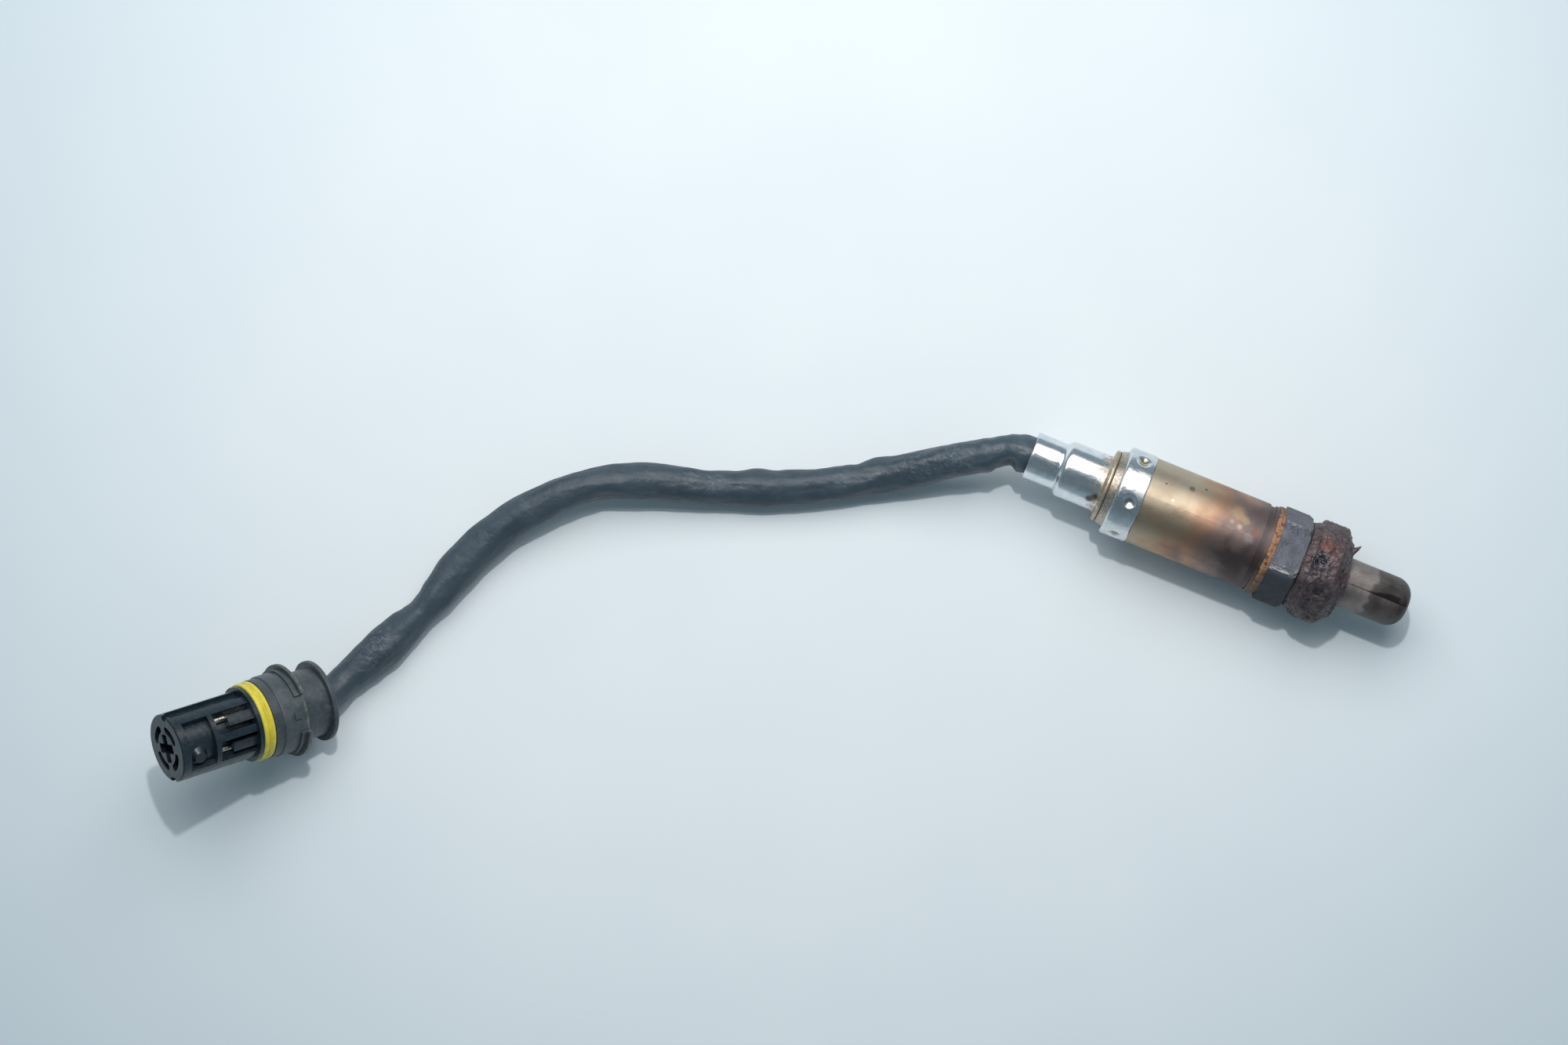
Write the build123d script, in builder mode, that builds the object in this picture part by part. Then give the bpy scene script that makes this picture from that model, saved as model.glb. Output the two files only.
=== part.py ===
from build123d import *

import math
import os

# Heated four-wire oxygen sensor with its harness and round four-way connector. Sizes are in
# millimetres and degrees. +X runs along the sensor's axis towards its tip and +Z is up. The
# sensor lies on Z = 0 on its weld boss, and the origin is under the middle of the sensor.
# Stations along the sensor are counted from the hexagon's seat face, positive towards the tip.
# Stations along the connector are counted from its rear flange, positive towards its front.

os.makedirs("parts", exist_ok=True)

# Clearances
press_gap = 0.03  # radial, between pressed or rolled pieces
slip_gap = 0.05  # radial, between pieces that are pushed in
loose_gap = 0.25  # radial, round pieces that stand free in a bore

# Housing: hexagon, shank and the tube behind it that holds the element
across_flats = 22.0
hex_length = 7.2
hex_turn = 55.0  # one corner's angle from +Y, seen from the tip
corner_break = 0.8  # how far the front chamfer comes down at the hexagon's corners
corner_break_length = 1.1
rear_break = 0.25  # the same, both ways, at the hexagon's rear
shank_r = 8.5  # mean radius of the M18 x 1.5 thread
shank_length = 11.4
shank_chamfer = 0.5
relief_depth = 0.6
relief_length = 1.6
collar_length = 0.9  # weld collar between the hexagon and the sleeve
collar_r = 11.25
register_length = 5.5  # what the sleeve is pushed over
rear_tube_r = 9.4
chamber_r = 6.75  # bore that holds the element's collar and packing
chamber_front = 2.8
shank_bore_r = 5.4
lip_length = 0.8  # rim rolled over the retaining ring
lip_bore_r = 5.6

# Sensing element and what packs it into the housing
element_collar_length = 6.0
element_collar_slack = 0.1
element_rear_length = 20.4
element_rear_r = 4.6
element_root_r = 4.1
element_tip_r = 3.2
element_tip = 26.6
element_bore_r = 2.1
element_tip_bore_r = 1.75
seal_ring_thickness = 0.6
packing_length = 8.4
bush_length = 7.6
retaining_thickness = 1.2
heater_r = 1.45
heater_front = 23.6
heater_rear = -36.0

# Protection tube with louvred slots
tube_r = 6.35
tube_wall = 0.5
tube_tip = 29.8
tube_corner_r = 4.6
tube_flange_r = 7.3
tube_lip_length = 0.6
louvre_count = 3
louvre_turn = 98.0  # first slit's angle from +Y
louvre_span = 34.0  # from the slit back to the fold, round the tube
louvre_start = 13.0
start_press = 0.25
tip_press = 2.2

# Gasket and the weld boss that is seized on the shank
gasket_thickness = 1.9
gasket_r = 10.8
gasket_sheet = 0.5
boss_gap = 0.3
boss_r = 12.9
boss_length = 11.9
boss_rim_drop = 1.4  # how far the rear rim lies inside the boss's radius
boss_rim_length = 2.3
boss_shoulder_drop = 0.4
boss_shoulder_length = 1.0
boss_rounding = 1.5
boss_land_length = 6.3
boss_nose_r = 9.6
boss_nose_length = 0.8

# Lower sleeve, crimp ring and clamp washer
sleeve_r = 11.3
sleeve_wall = 0.5
sleeve_length = 34.1
sleeve_flare = 0.2
sleeve_flare_length = 0.9
rolled_groove_depth = 0.4
rolled_groove_width = 1.6
rolled_groove_offset = 1.8  # from the sleeve's front end to the groove
end_hole_r = 7.6
ring_r = 11.6
ring_wall = 0.5
ring_length = 7.0
ring_corner_r = 1.0
ring_mouth_r = 10.2
dimple_count = 6
dimple_turn = 106.0  # first dimple's angle from +Y
dimple_r = 2.3
dimple_depth = 0.9
washer_base = 1.1
washer_cone_length = 2.3
washer_top_r = 9.4

# Upper sleeve and grommet
upper_wall = 0.4
upper_wide_r = 7.35
upper_narrow_r = 6.1
upper_neck_r = 5.95
upper_rim_r = 6.25
upper_wide_length = 11.8
upper_neck_length = 0.7
upper_shoulder_length = 0.9
shoulder_rounding = 0.5
upper_narrow_length = 7.5
upper_rim_length = 0.8
upper_flange_r = 9.5
upper_flange_length = 1.3
spigot_length = 3.6
grommet_recess = 2.0
grommet_front_gap = 1.8

# Contact holder, disc spring, leads and contacts
holder_chamfer = 0.5
recess_r = 6.2
recess_length = 9.4
spring_height = 1.6
spring_thickness = 0.6
spring_inner_r = 5.4
lead_r = 1.1
lead_circle_r = 3.6
lead_turn = 20.0
barrel_wall = 0.2
barrel_length = 5.0
blade_width = 1.6
blade_thickness = 0.5
blade_end_gap = 2.0  # from the blade's end to the element
contact_sheet = 0.3
contact_grip = 1.8
contact_tab_length = 4.6
ferrule_length = 6.0
ferrule_flange_r = 3.0
finger_length = 2.0

# Connector, from its rear flange to its front face
flange_x = -215.0  # the rear flange's centre, from the hexagon's seat face
flange_y = -125.5
nose_heading = -136.35  # direction of the connector's nose, from +X
nose_lift = 32.5
cap_flange_r = 10.4
cap_flange_length = 1.3
cap_r = 8.75
cap_length = 8.6
cap_wall = 1.75
cap_bore_r = 4.0
cap_floor = 1.2
boot_length = 1.2
boot_r = 5.2
boot_root_r = 5.8
spigot_depth = 3.0
spigot_r = 7.6
body_r = 10.4
body_length = 6.7
body_edge = 0.3
body_flange_r = 11.9
body_flange_length = 0.9
channel_length = 1.0
channel_depth = 1.2
channel_lip_r = 11.0
channel_lip_length = 0.5
channel_end = 4.0  # angle of wall that closes each end of the channel
flange_gap = 51.0  # angle between the flange's two segments
body_boss_width = 1.7
body_boss_height = 0.5
body_boss_offset = 2.0
spacer_length = 2.3
spacer_r = 10.1
seal_length = 3.1
seal_r = 10.0
seal_lip = 0.9
seal_groove_depth = 0.6
carrier_collar_r = 9.6
carrier_collar_length = 1.1
carrier_r = 8.6
carrier_length = 20.8
carrier_edge = 0.3
rib_angle = 72.0  # the middle of the windowed side, in the connector's own plane
window_side = 90.0  # angle that a pair of windows covers
rib_width_angle = 13.0
front_land = 2.3
front_window_length = 7.0
window_rib = 1.3
front_window_depth = 1.7
rear_window_depth = 3.4
latch_angle = 19.0
latch_length = 6.6
latch_top_gap = 0.7
button_r = 2.6
button_height = 0.8
button_taper = 40.0
button_offset = 2.9  # from the front window's front edge
key_offset = 75.0  # from the rib to the main keyway
second_key_offset = -92.0
key_width = 4.2
key_depth = 1.2
key_wall = 1.0
key_notch_width = 2.0
second_key_width = 2.6
terminal_circle_r = 5.1
pocket_size = 2.5
slot_width = 1.8
slot_span = 46.0  # between the middles of its round ends
slot_depth = 3.0
cross_width = 2.4
cross_reach = 3.6
cross_depth = 2.2
wire_seal_length = 5.0
inner_lead_circle_r = 2.9
lead_bend_r = 4.0
terminal_box = 2.2
terminal_box_length = 11.0
terminal_socket_r = 1.1
terminal_socket_bore_r = 0.7
terminal_front_gap = 0.8
terminal_barrel_length = 4.0
terminal_barrel_start = 13.0

# Harness sleeve: heat-shrink tube over the four leads
harness_r = 4.6
boot_run = 3.4  # its last straight run, up to the connector's boot
arc_share = 0.45  # of the shorter run at a corner, taken up by the corner's arc

# Places that follow from the sizes above
hex_rear = -hex_length
collar_rear = hex_rear - collar_length
register_rear = collar_rear - register_length
element_collar_front = chamber_front - seal_ring_thickness
packing_front = element_collar_front - element_collar_length
bush_front = packing_front - packing_length
retaining_front = bush_front - bush_length
lip_front = retaining_front - retaining_thickness
housing_rear = lip_front - lip_length
element_rear = packing_front - element_rear_length
register_r = sleeve_r - sleeve_wall - press_gap
sleeve_rear = collar_rear - sleeve_length
neck_r = ring_r - ring_wall - dimple_depth - press_gap
ring_rear = sleeve_rear - ring_length
base_rear = ring_rear + ring_wall
neck_rear = base_rear + washer_base
spring_rear = neck_rear + sleeve_wall
holder_rear = spring_rear + spring_height
washer_rear = base_rear - washer_cone_length
flange_rear = washer_rear - upper_flange_length
wide_rear = flange_rear - upper_wide_length
neck_end = wide_rear - upper_neck_length
rim_rear = neck_end - upper_narrow_length
wide_bore_r = upper_wide_r - upper_wall
narrow_bore_r = upper_narrow_r - upper_wall
grommet_rear = rim_rear + grommet_recess
grommet_front = washer_rear - grommet_front_gap
boss_end = boss_gap + boss_length
land_start = boss_gap + boss_rim_length
land_end = land_start + boss_land_length
barrel_rear = holder_rear + contact_sheet
lead_end = barrel_rear + barrel_length
blade_front = element_rear - blade_end_gap

seat_x = -(tube_tip + rim_rear) / 2  # the sensor's box is centred on the origin
axis_height = boss_r
side = Plane(origin=(seat_x, 0, axis_height), x_dir=(1, 0, 0), z_dir=(0, -1, 0))
sensor_axis = Axis((seat_x, 0, axis_height), (1, 0, 0))

cap_front = cap_length
body_front = cap_front + body_length
spacer_front = body_front + spacer_length
seal_front = spacer_front + seal_length
collar_front = seal_front + carrier_collar_length
nose = collar_front + carrier_length
stub_rear = cap_front + spigot_depth + loose_gap
cap_hollow_r = cap_r - cap_wall
socket_r = spigot_r + slip_gap  # bore that the cap's spigot and the carrier's stub go into
lift = math.radians(nose_lift)
heading = math.radians(nose_heading)
nose_way = (
    math.cos(lift) * math.cos(heading),
    math.cos(lift) * math.sin(heading),
    math.sin(lift),
)
flange_centre = (seat_x + flange_x, flange_y, cap_flange_r * math.cos(lift))
connector = Plane(
    origin=flange_centre,
    x_dir=(-math.sin(heading), math.cos(heading), 0),
    z_dir=nose_way,
)
connector_axis = Axis(flange_centre, nose_way)


def cross_plane(station):
    """The plane across the sensor at a station, facing the tip."""
    return Plane(origin=(seat_x + station, 0, axis_height), x_dir=(0, 1, 0), z_dir=(1, 0, 0))


def radial_plane(angle):
    """A plane through the connector's axis: x is the radius at that angle, y the station."""
    return Plane(
        origin=flange_centre,
        x_dir=connector.from_local_coords(Vector(1, 0, 0).rotate(Axis.Z, angle)) - connector.origin,
        z_dir=connector.from_local_coords(Vector(0, -1, 0).rotate(Axis.Z, angle)) - connector.origin,
    )


def facing_plane(angle, station):
    """A plane through the connector's axis at a station, facing out at that angle."""
    return Plane(
        origin=connector.from_local_coords(Vector(0, 0, station)),
        x_dir=nose_way,
        z_dir=connector.from_local_coords(Vector(1, 0, 0).rotate(Axis.Z, angle)) - connector.origin,
    )


def band(start, end, inner_r, outer_r):
    """Half the section of a ring or tube, drawn beside the axis in the current sketch."""
    with Locations(((start + end) / 2, (inner_r + outer_r) / 2)):
        Rectangle(abs(end - start), outer_r - inner_r)


def upright_band(start, end, inner_r, outer_r):
    """The same for the connector, whose stations run along y."""
    with Locations(((inner_r + outer_r) / 2, (start + end) / 2)):
        Rectangle(outer_r - inner_r, abs(end - start))


def outline(*points):
    """A closed half section from its corners, in the current sketch."""
    with BuildLine() as edge:
        Polyline(*points, close=True)
    make_face(edge.edges())


def sector(inner_r, outer_r, middle, spread):
    """Part of a ring, spread degrees wide about a middle angle, in the current sketch."""
    with BuildLine() as edge:
        inner = CenterArc((0, 0), inner_r, middle - spread / 2, spread)
        outer = CenterArc((0, 0), outer_r, middle - spread / 2, spread)
        Line(inner @ 0, outer @ 0)
        Line(inner @ 1, outer @ 1)
    make_face(edge.edges())


def polar(radius, angle):
    """A point of a sketch from its radius and angle."""
    return (radius * math.cos(math.radians(angle)), radius * math.sin(math.radians(angle)))


def finish(piece, name):
    """Labels a piece and writes it."""
    piece.part.label = name
    export_step(piece.part, f"parts/{name}.step")


# Housing: one forged and turned piece, with the hexagon, the threaded shank, the register for
# the sleeve and the bore for the element. Its rear rim is rolled over the retaining ring.
with BuildPart() as housing:
    with BuildSketch(cross_plane(hex_rear)):
        RegularPolygon(across_flats / 2, 6, major_radius=False, rotation=hex_turn)
    extrude(amount=hex_length)
    corner_r = across_flats / 2 / math.cos(math.pi / 6)
    with BuildSketch(side):
        outline(
            (hex_rear, 0),
            (hex_rear, corner_r - rear_break),
            (hex_rear + rear_break, corner_r + press_gap),
            (-corner_break_length, corner_r + press_gap),
            (0, corner_r - corner_break),
            (0, 0),
        )
    revolve(axis=sensor_axis, mode=Mode.INTERSECT)
    with BuildSketch(side) as turned:
        band(0, shank_length, 0, shank_r)
        chamfer(turned.vertices().group_by(Axis.X)[-1].sort_by(Axis.Y)[-1], shank_chamfer)
        band(collar_rear, hex_rear, 0, collar_r)
        band(register_rear, collar_rear, 0, register_r)
        band(housing_rear, register_rear, 0, rear_tube_r)
    revolve(axis=sensor_axis)
    with BuildSketch(side):
        band(0, relief_length, shank_r - relief_depth, shank_r)
        band(
            collar_rear - rolled_groove_offset - rolled_groove_width,
            collar_rear - rolled_groove_offset,
            register_r - rolled_groove_depth - press_gap,
            register_r,
        )
        band(chamber_front, shank_length, 0, shank_bore_r)
        band(lip_front, chamber_front, 0, chamber_r)
        band(housing_rear, lip_front, 0, lip_bore_r)
        band(
            shank_length - tube_lip_length - tube_wall,
            shank_length - tube_lip_length,
            0,
            tube_flange_r + slip_gap,
        )
        band(shank_length - tube_lip_length, shank_length, 0, tube_r + slip_gap)
    revolve(axis=sensor_axis, mode=Mode.SUBTRACT)
finish(housing, "housing")

# Sealing gasket: a ring folded from sheet, open on its inner side, crushed under the hexagon.
with BuildPart() as sealing_gasket:
    with BuildSketch(side):
        band(0, gasket_thickness, shank_r + loose_gap, gasket_r)
    revolve(axis=sensor_axis)
    with BuildSketch(side):
        band(
            gasket_sheet,
            gasket_thickness - gasket_sheet,
            shank_r + loose_gap,
            gasket_r - gasket_sheet,
        )
    revolve(axis=sensor_axis, mode=Mode.SUBTRACT)
    outer_edges = sealing_gasket.edges().filter_by(GeomType.CIRCLE).sort_by(SortBy.RADIUS)[-2:]
    fillet(outer_edges, gasket_sheet / 2)
finish(sealing_gasket, "sealing_gasket")

# Weld boss: the threaded collar of the exhaust pipe, cut off and seized on the shank. Its
# counterbore takes the gasket.
with BuildPart() as weld_boss:
    with BuildSketch(side) as half:
        outline(
            (boss_gap, shank_r + slip_gap),
            (boss_gap, boss_r - boss_rim_drop),
            (boss_gap + boss_shoulder_length, boss_r - boss_shoulder_drop),
            (land_start, boss_r),
            (land_end, boss_r),
            (boss_end - boss_nose_length, boss_nose_r),
            (boss_end, (boss_nose_r + shank_r) / 2),
            (boss_end, shank_r + slip_gap),
        )
        fillet(half.vertices().sort_by(Axis.Y)[-3:], boss_rounding)
    revolve(axis=sensor_axis)
    with BuildSketch(side):
        band(boss_gap, gasket_thickness, 0, gasket_r + slip_gap)
    revolve(axis=sensor_axis, mode=Mode.SUBTRACT)
finish(weld_boss, "weld_boss")

# Protection tube: a drawn cap with a flange. Each louvre is a strip of its wall, slit along one
# side and pressed in deeper towards the tip, and the cavity follows it one wall further in.
tube_start = shank_length - tube_lip_length - tube_wall


def press_louvres(wall):
    """Cuts the room of each louvre: wall 0 gives its outside, the tube's wall its inside."""
    for place in range(louvre_count):
        slit = louvre_turn + place * 360 / louvre_count
        ends = []
        for station, press in (
            (louvre_start - wall, start_press),
            (tube_tip + wall, tip_press),
        ):
            with BuildSketch(cross_plane(station)) as strip:
                outline(
                    polar(tube_r - wall, slit - louvre_span),
                    polar(tube_r - wall - press, slit),
                    polar(tube_r + tube_wall, slit),
                    polar(tube_r + tube_wall, slit - louvre_span / 2),
                    polar(tube_r + tube_wall, slit - louvre_span),
                )
            ends.append(strip.sketch.face())
        loft(ends, ruled=True, mode=Mode.SUBTRACT)


with BuildPart() as tube_cavity:
    with BuildSketch(side) as half:
        band(tube_start, tube_tip - tube_wall, 0, tube_r - tube_wall)
        tip_corner = half.vertices().group_by(Axis.X)[-1].sort_by(Axis.Y)[-1]
        fillet(tip_corner, tube_corner_r - tube_wall)
    revolve(axis=sensor_axis)
    press_louvres(tube_wall)

with BuildPart() as protection_tube:
    with BuildSketch(side) as half:
        band(tube_start, tube_tip, 0, tube_r)
        tip_corner = half.vertices().group_by(Axis.X)[-1].sort_by(Axis.Y)[-1]
        fillet(tip_corner, tube_corner_r)
        band(tube_start, tube_start + tube_wall, 0, tube_flange_r)
    revolve(axis=sensor_axis)
    press_louvres(0)
    add(tube_cavity.part, mode=Mode.SUBTRACT)
finish(protection_tube, "protection_tube")

# Sensing element: a ceramic thimble, closed at the tip, with the collar that it is held by.
with BuildPart() as sensing_element:
    tip_centre = element_tip - element_tip_r
    with BuildSketch(side):
        with BuildLine():
            tip = CenterArc((tip_centre, 0), element_tip_r, 0, 90)
            inner_tip = CenterArc((tip_centre, 0), element_tip_bore_r, 0, 90)
            Line(tip @ 0, inner_tip @ 0)
            Polyline(
                tip @ 1,
                (element_collar_front, element_root_r),
                (element_collar_front, chamber_r - element_collar_slack),
                (packing_front, chamber_r - element_collar_slack),
                (packing_front, element_rear_r),
                (element_rear, element_rear_r),
                (element_rear, element_bore_r),
                inner_tip @ 1,
            )
        make_face()
    revolve(axis=sensor_axis)
finish(sensing_element, "sensing_element")

# Seal ring, powder packing, insulating bush and retaining ring, in the order they go in.
with BuildPart() as seal_ring:
    with BuildSketch(side):
        band(element_collar_front, chamber_front, element_root_r + loose_gap, chamber_r - slip_gap)
    revolve(axis=sensor_axis)
finish(seal_ring, "seal_ring")

with BuildPart() as powder_packing:
    with BuildSketch(side):
        band(bush_front, packing_front, element_rear_r + press_gap, chamber_r - press_gap)
    revolve(axis=sensor_axis)
finish(powder_packing, "powder_packing")

with BuildPart() as insulating_bush:
    with BuildSketch(side):
        band(retaining_front, bush_front, element_rear_r + slip_gap, chamber_r - slip_gap)
    revolve(axis=sensor_axis)
finish(insulating_bush, "insulating_bush")

with BuildPart() as retaining_ring:
    with BuildSketch(side):
        band(lip_front, retaining_front, element_rear_r + loose_gap, chamber_r - slip_gap)
    revolve(axis=sensor_axis)
finish(retaining_ring, "retaining_ring")

# Heater: a ceramic rod that stands in the element's bore.
with BuildPart() as heater_rod:
    with BuildSketch(side) as half:
        band(heater_rear, heater_front, 0, heater_r)
        chamfer(half.vertices().group_by(Axis.X)[-1].sort_by(Axis.Y)[-1], heater_r / 4)
    revolve(axis=sensor_axis)
finish(heater_rod, "heater_rod")

# Contact holder: a ceramic cylinder with a bore for each lead and a recess over the element. It
# stands on the housing's rolled rim, and the disc spring loads it from behind.
holder_r = neck_r - sleeve_wall - loose_gap
barrel_r = lead_r + press_gap + barrel_wall
with BuildPart() as contact_holder:
    with BuildSketch(side) as half:
        band(holder_rear, housing_rear, 0, holder_r)
        chamfer(half.vertices().group_by(Axis.X)[0].sort_by(Axis.Y)[-1], holder_chamfer)
    revolve(axis=sensor_axis)
    with BuildSketch(side):
        band(housing_rear - recess_length, housing_rear, 0, recess_r)
        band(holder_rear, housing_rear, 0, heater_r + slip_gap)
    revolve(axis=sensor_axis, mode=Mode.SUBTRACT)
    with BuildSketch(cross_plane(holder_rear)):
        with PolarLocations(lead_circle_r, 4, start_angle=lead_turn):
            Circle(barrel_r + slip_gap)
    extrude(amount=housing_rear - holder_rear, mode=Mode.SUBTRACT)
finish(contact_holder, "contact_holder")

# Disc spring: a cone washer between the sleeve's end and the contact holder.
spring_outer_r = neck_r - sleeve_wall - loose_gap
with BuildPart() as disc_spring:
    with BuildSketch(side):
        outline(
            (spring_rear, spring_outer_r),
            (spring_rear + spring_thickness, spring_outer_r),
            (holder_rear, spring_inner_r),
            (holder_rear - spring_thickness, spring_inner_r),
        )
    revolve(axis=sensor_axis)
finish(disc_spring, "disc_spring")

# Lower sleeve: drawn over the housing's register, with a groove rolled into it, and stepped
# down behind to the neck that the crimp ring grips.
groove_front = collar_rear - rolled_groove_offset
groove_rear = groove_front - rolled_groove_width
sleeve_bore_r = sleeve_r - sleeve_wall
with BuildPart() as lower_sleeve:
    with BuildSketch(side):
        band(sleeve_rear, collar_rear, sleeve_bore_r, sleeve_r)
        band(collar_rear - sleeve_flare_length, collar_rear, sleeve_bore_r, sleeve_r + sleeve_flare)
        band(
            groove_rear,
            groove_front,
            sleeve_bore_r - rolled_groove_depth,
            sleeve_r - rolled_groove_depth,
        )
        band(sleeve_rear, sleeve_rear + sleeve_wall, neck_r - sleeve_wall, sleeve_r)
        band(neck_rear, sleeve_rear, neck_r - sleeve_wall, neck_r)
        band(neck_rear, neck_rear + sleeve_wall, end_hole_r, neck_r)
    revolve(axis=sensor_axis)
    with BuildSketch(side):
        band(groove_rear, groove_front, sleeve_r - rolled_groove_depth, sleeve_r + sleeve_wall)
    revolve(axis=sensor_axis, mode=Mode.SUBTRACT)
finish(lower_sleeve, "lower_sleeve")

# Crimp ring: a cup over the neck, dimpled all round. Each dimple is a ball pressed in, so the
# wall keeps its thickness there and its inner side reaches the neck.
ball_r = (dimple_r**2 + dimple_depth**2) / (2 * dimple_depth)
ball_centre_r = ring_r - dimple_depth + ball_r
dimple_station = sleeve_rear - ring_length / 2


def press_dimples(radius):
    """Takes a ball at each dimple out of the current part."""
    with BuildSketch(cross_plane(dimple_station)) as places:
        with PolarLocations(ball_centre_r, dimple_count, start_angle=dimple_turn):
            Circle(radius)
    for ball in places.sketch.faces():
        with Locations(ball.center()):
            Sphere(radius, mode=Mode.SUBTRACT)


with BuildPart() as ring_cavity:
    with BuildSketch(side) as half:
        band(ring_rear + ring_wall, sleeve_rear, 0, ring_r - ring_wall)
        rear_corner = half.vertices().group_by(Axis.X)[0].sort_by(Axis.Y)[-1]
        fillet(rear_corner, ring_corner_r - ring_wall)
    revolve(axis=sensor_axis)
    press_dimples(ball_r + ring_wall)

with BuildPart() as crimp_ring:
    with BuildSketch(side) as half:
        band(ring_rear, sleeve_rear, 0, ring_r)
        rear_corner = half.vertices().group_by(Axis.X)[0].sort_by(Axis.Y)[-1]
        fillet(rear_corner, ring_corner_r)
    revolve(axis=sensor_axis)
    press_dimples(ball_r)
    add(ring_cavity.part, mode=Mode.SUBTRACT)
    with BuildSketch(side):
        band(ring_rear, ring_rear + ring_wall, 0, ring_mouth_r)
    revolve(axis=sensor_axis, mode=Mode.SUBTRACT)
finish(crimp_ring, "crimp_ring")

# Clamp washer: its base is caught between the sleeve's end and the ring's rim, and its cone
# comes out through the ring's mouth to carry the upper sleeve's flange.
with BuildPart() as clamp_washer:
    with BuildSketch(side):
        outline(
            (neck_rear, upper_wide_r + slip_gap),
            (neck_rear, ring_r - ring_corner_r),
            (base_rear, ring_r - ring_corner_r),
            (base_rear, ring_mouth_r - slip_gap),
            (washer_rear, washer_top_r),
            (washer_rear, upper_wide_r + slip_gap),
        )
    revolve(axis=sensor_axis)
finish(clamp_washer, "clamp_washer")

# Upper sleeve: drawn in one piece, with a rolled rim, a necked step, a wide part, a folded
# flange and the spigot that goes through the clamp washer.
shoulder_front = wide_rear + upper_shoulder_length
with BuildPart() as upper_sleeve:
    with BuildSketch(side) as half:
        outline(
            (rim_rear, narrow_bore_r),
            (rim_rear, upper_rim_r),
            (rim_rear + upper_rim_length, upper_narrow_r),
            (neck_end, upper_narrow_r),
            (neck_end, upper_neck_r),
            (wide_rear, upper_neck_r),
            (shoulder_front, upper_wide_r),
            (flange_rear, upper_wide_r),
            (flange_rear, upper_flange_r),
            (washer_rear, upper_flange_r),
            (washer_rear, upper_wide_r),
            (washer_rear + spigot_length, upper_wide_r),
            (washer_rear + spigot_length, wide_bore_r),
            (shoulder_front + upper_wall, wide_bore_r),
            (wide_rear + upper_wall, narrow_bore_r),
        )
        for corner in ((shoulder_front, upper_wide_r), (wide_rear, upper_neck_r)):
            fillet(half.vertices().sort_by_distance(corner)[0], shoulder_rounding)
    revolve(axis=sensor_axis)
    flange_edges = upper_sleeve.edges().filter_by(GeomType.CIRCLE).sort_by(SortBy.RADIUS)[-2:]
    fillet(flange_edges, upper_flange_length / 4)
finish(upper_sleeve, "upper_sleeve")

# Grommet: a stepped rubber plug with a bore for each lead.
with BuildPart() as grommet:
    with BuildSketch(side):
        outline(
            (grommet_rear, 0),
            (grommet_rear, narrow_bore_r - slip_gap),
            (wide_rear + upper_wall, narrow_bore_r - slip_gap),
            (shoulder_front + upper_wall, wide_bore_r - slip_gap),
            (grommet_front, wide_bore_r - slip_gap),
            (grommet_front, 0),
        )
    revolve(axis=sensor_axis)
    with BuildSketch(cross_plane(grommet_rear)):
        with PolarLocations(lead_circle_r, 4, start_angle=lead_turn):
            Circle(lead_r + slip_gap)
    extrude(amount=grommet_front - grommet_rear, mode=Mode.SUBTRACT)
finish(grommet, "grommet")

# Leads and their contacts. Each lead runs from the harness to its crimp barrel in the holder.
# A heater contact has a finger that reaches in to the rod.
for place, use in enumerate(("heater_a", "signal", "heater_b", "ground")):
    with BuildPart() as lead:
        with BuildSketch(cross_plane(grommet_rear)):
            with PolarLocations(lead_circle_r, 1, start_angle=lead_turn + 90 * place):
                Circle(lead_r)
        extrude(amount=lead_end - grommet_rear)
    finish(lead, f"lead_{use}")

    with BuildPart() as contact:
        with BuildSketch(cross_plane(barrel_rear)):
            with PolarLocations(lead_circle_r, 1, start_angle=lead_turn + 90 * place):
                Circle(barrel_r)
                Circle(lead_r + press_gap, mode=Mode.SUBTRACT)
        extrude(amount=barrel_length)
        with BuildSketch(cross_plane(lead_end)):
            with PolarLocations(lead_circle_r, 1, start_angle=lead_turn + 90 * place):
                Circle(barrel_r)
        extrude(amount=barrel_wall)
        with BuildSketch(cross_plane(lead_end)):
            with PolarLocations(lead_circle_r, 1, start_angle=lead_turn + 90 * place):
                Rectangle(blade_thickness, blade_width)
        extrude(amount=blade_front - lead_end)
        if use.startswith("heater"):
            finger_outer_r = lead_circle_r - blade_thickness / 2
            finger_inner_r = heater_r + press_gap
            finger_middle_r = (finger_outer_r + finger_inner_r) / 2
            with BuildSketch(cross_plane(blade_front - finger_length)):
                with PolarLocations(finger_middle_r, 1, start_angle=lead_turn + 90 * place):
                    Rectangle(finger_outer_r - finger_inner_r, blade_width)
            extrude(amount=finger_length)
    finish(contact, f"contact_{use}")

# Element contacts: a ring that grips the element's outside, and a ferrule on the heater that
# reaches into its bore. Each has a tab that meets its lead's blade.
tab_rear = element_rear - contact_tab_length
blade_outer_r = lead_circle_r + blade_thickness / 2
blade_inner_r = lead_circle_r - blade_thickness / 2
grip_bore_r = element_rear_r + press_gap
with BuildPart() as outer_contact:
    with BuildSketch(side):
        band(element_rear - contact_sheet, element_rear + contact_grip, grip_bore_r,
             grip_bore_r + contact_sheet)
    revolve(axis=sensor_axis)
    tab_outer_r = grip_bore_r + contact_sheet / 2
    with BuildSketch(cross_plane(tab_rear)):
        with PolarLocations((tab_outer_r + blade_outer_r + press_gap) / 2, 1, start_angle=lead_turn + 90):
            Rectangle(tab_outer_r - blade_outer_r - press_gap, blade_width)
    extrude(amount=contact_tab_length)
finish(outer_contact, "outer_contact")

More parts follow.
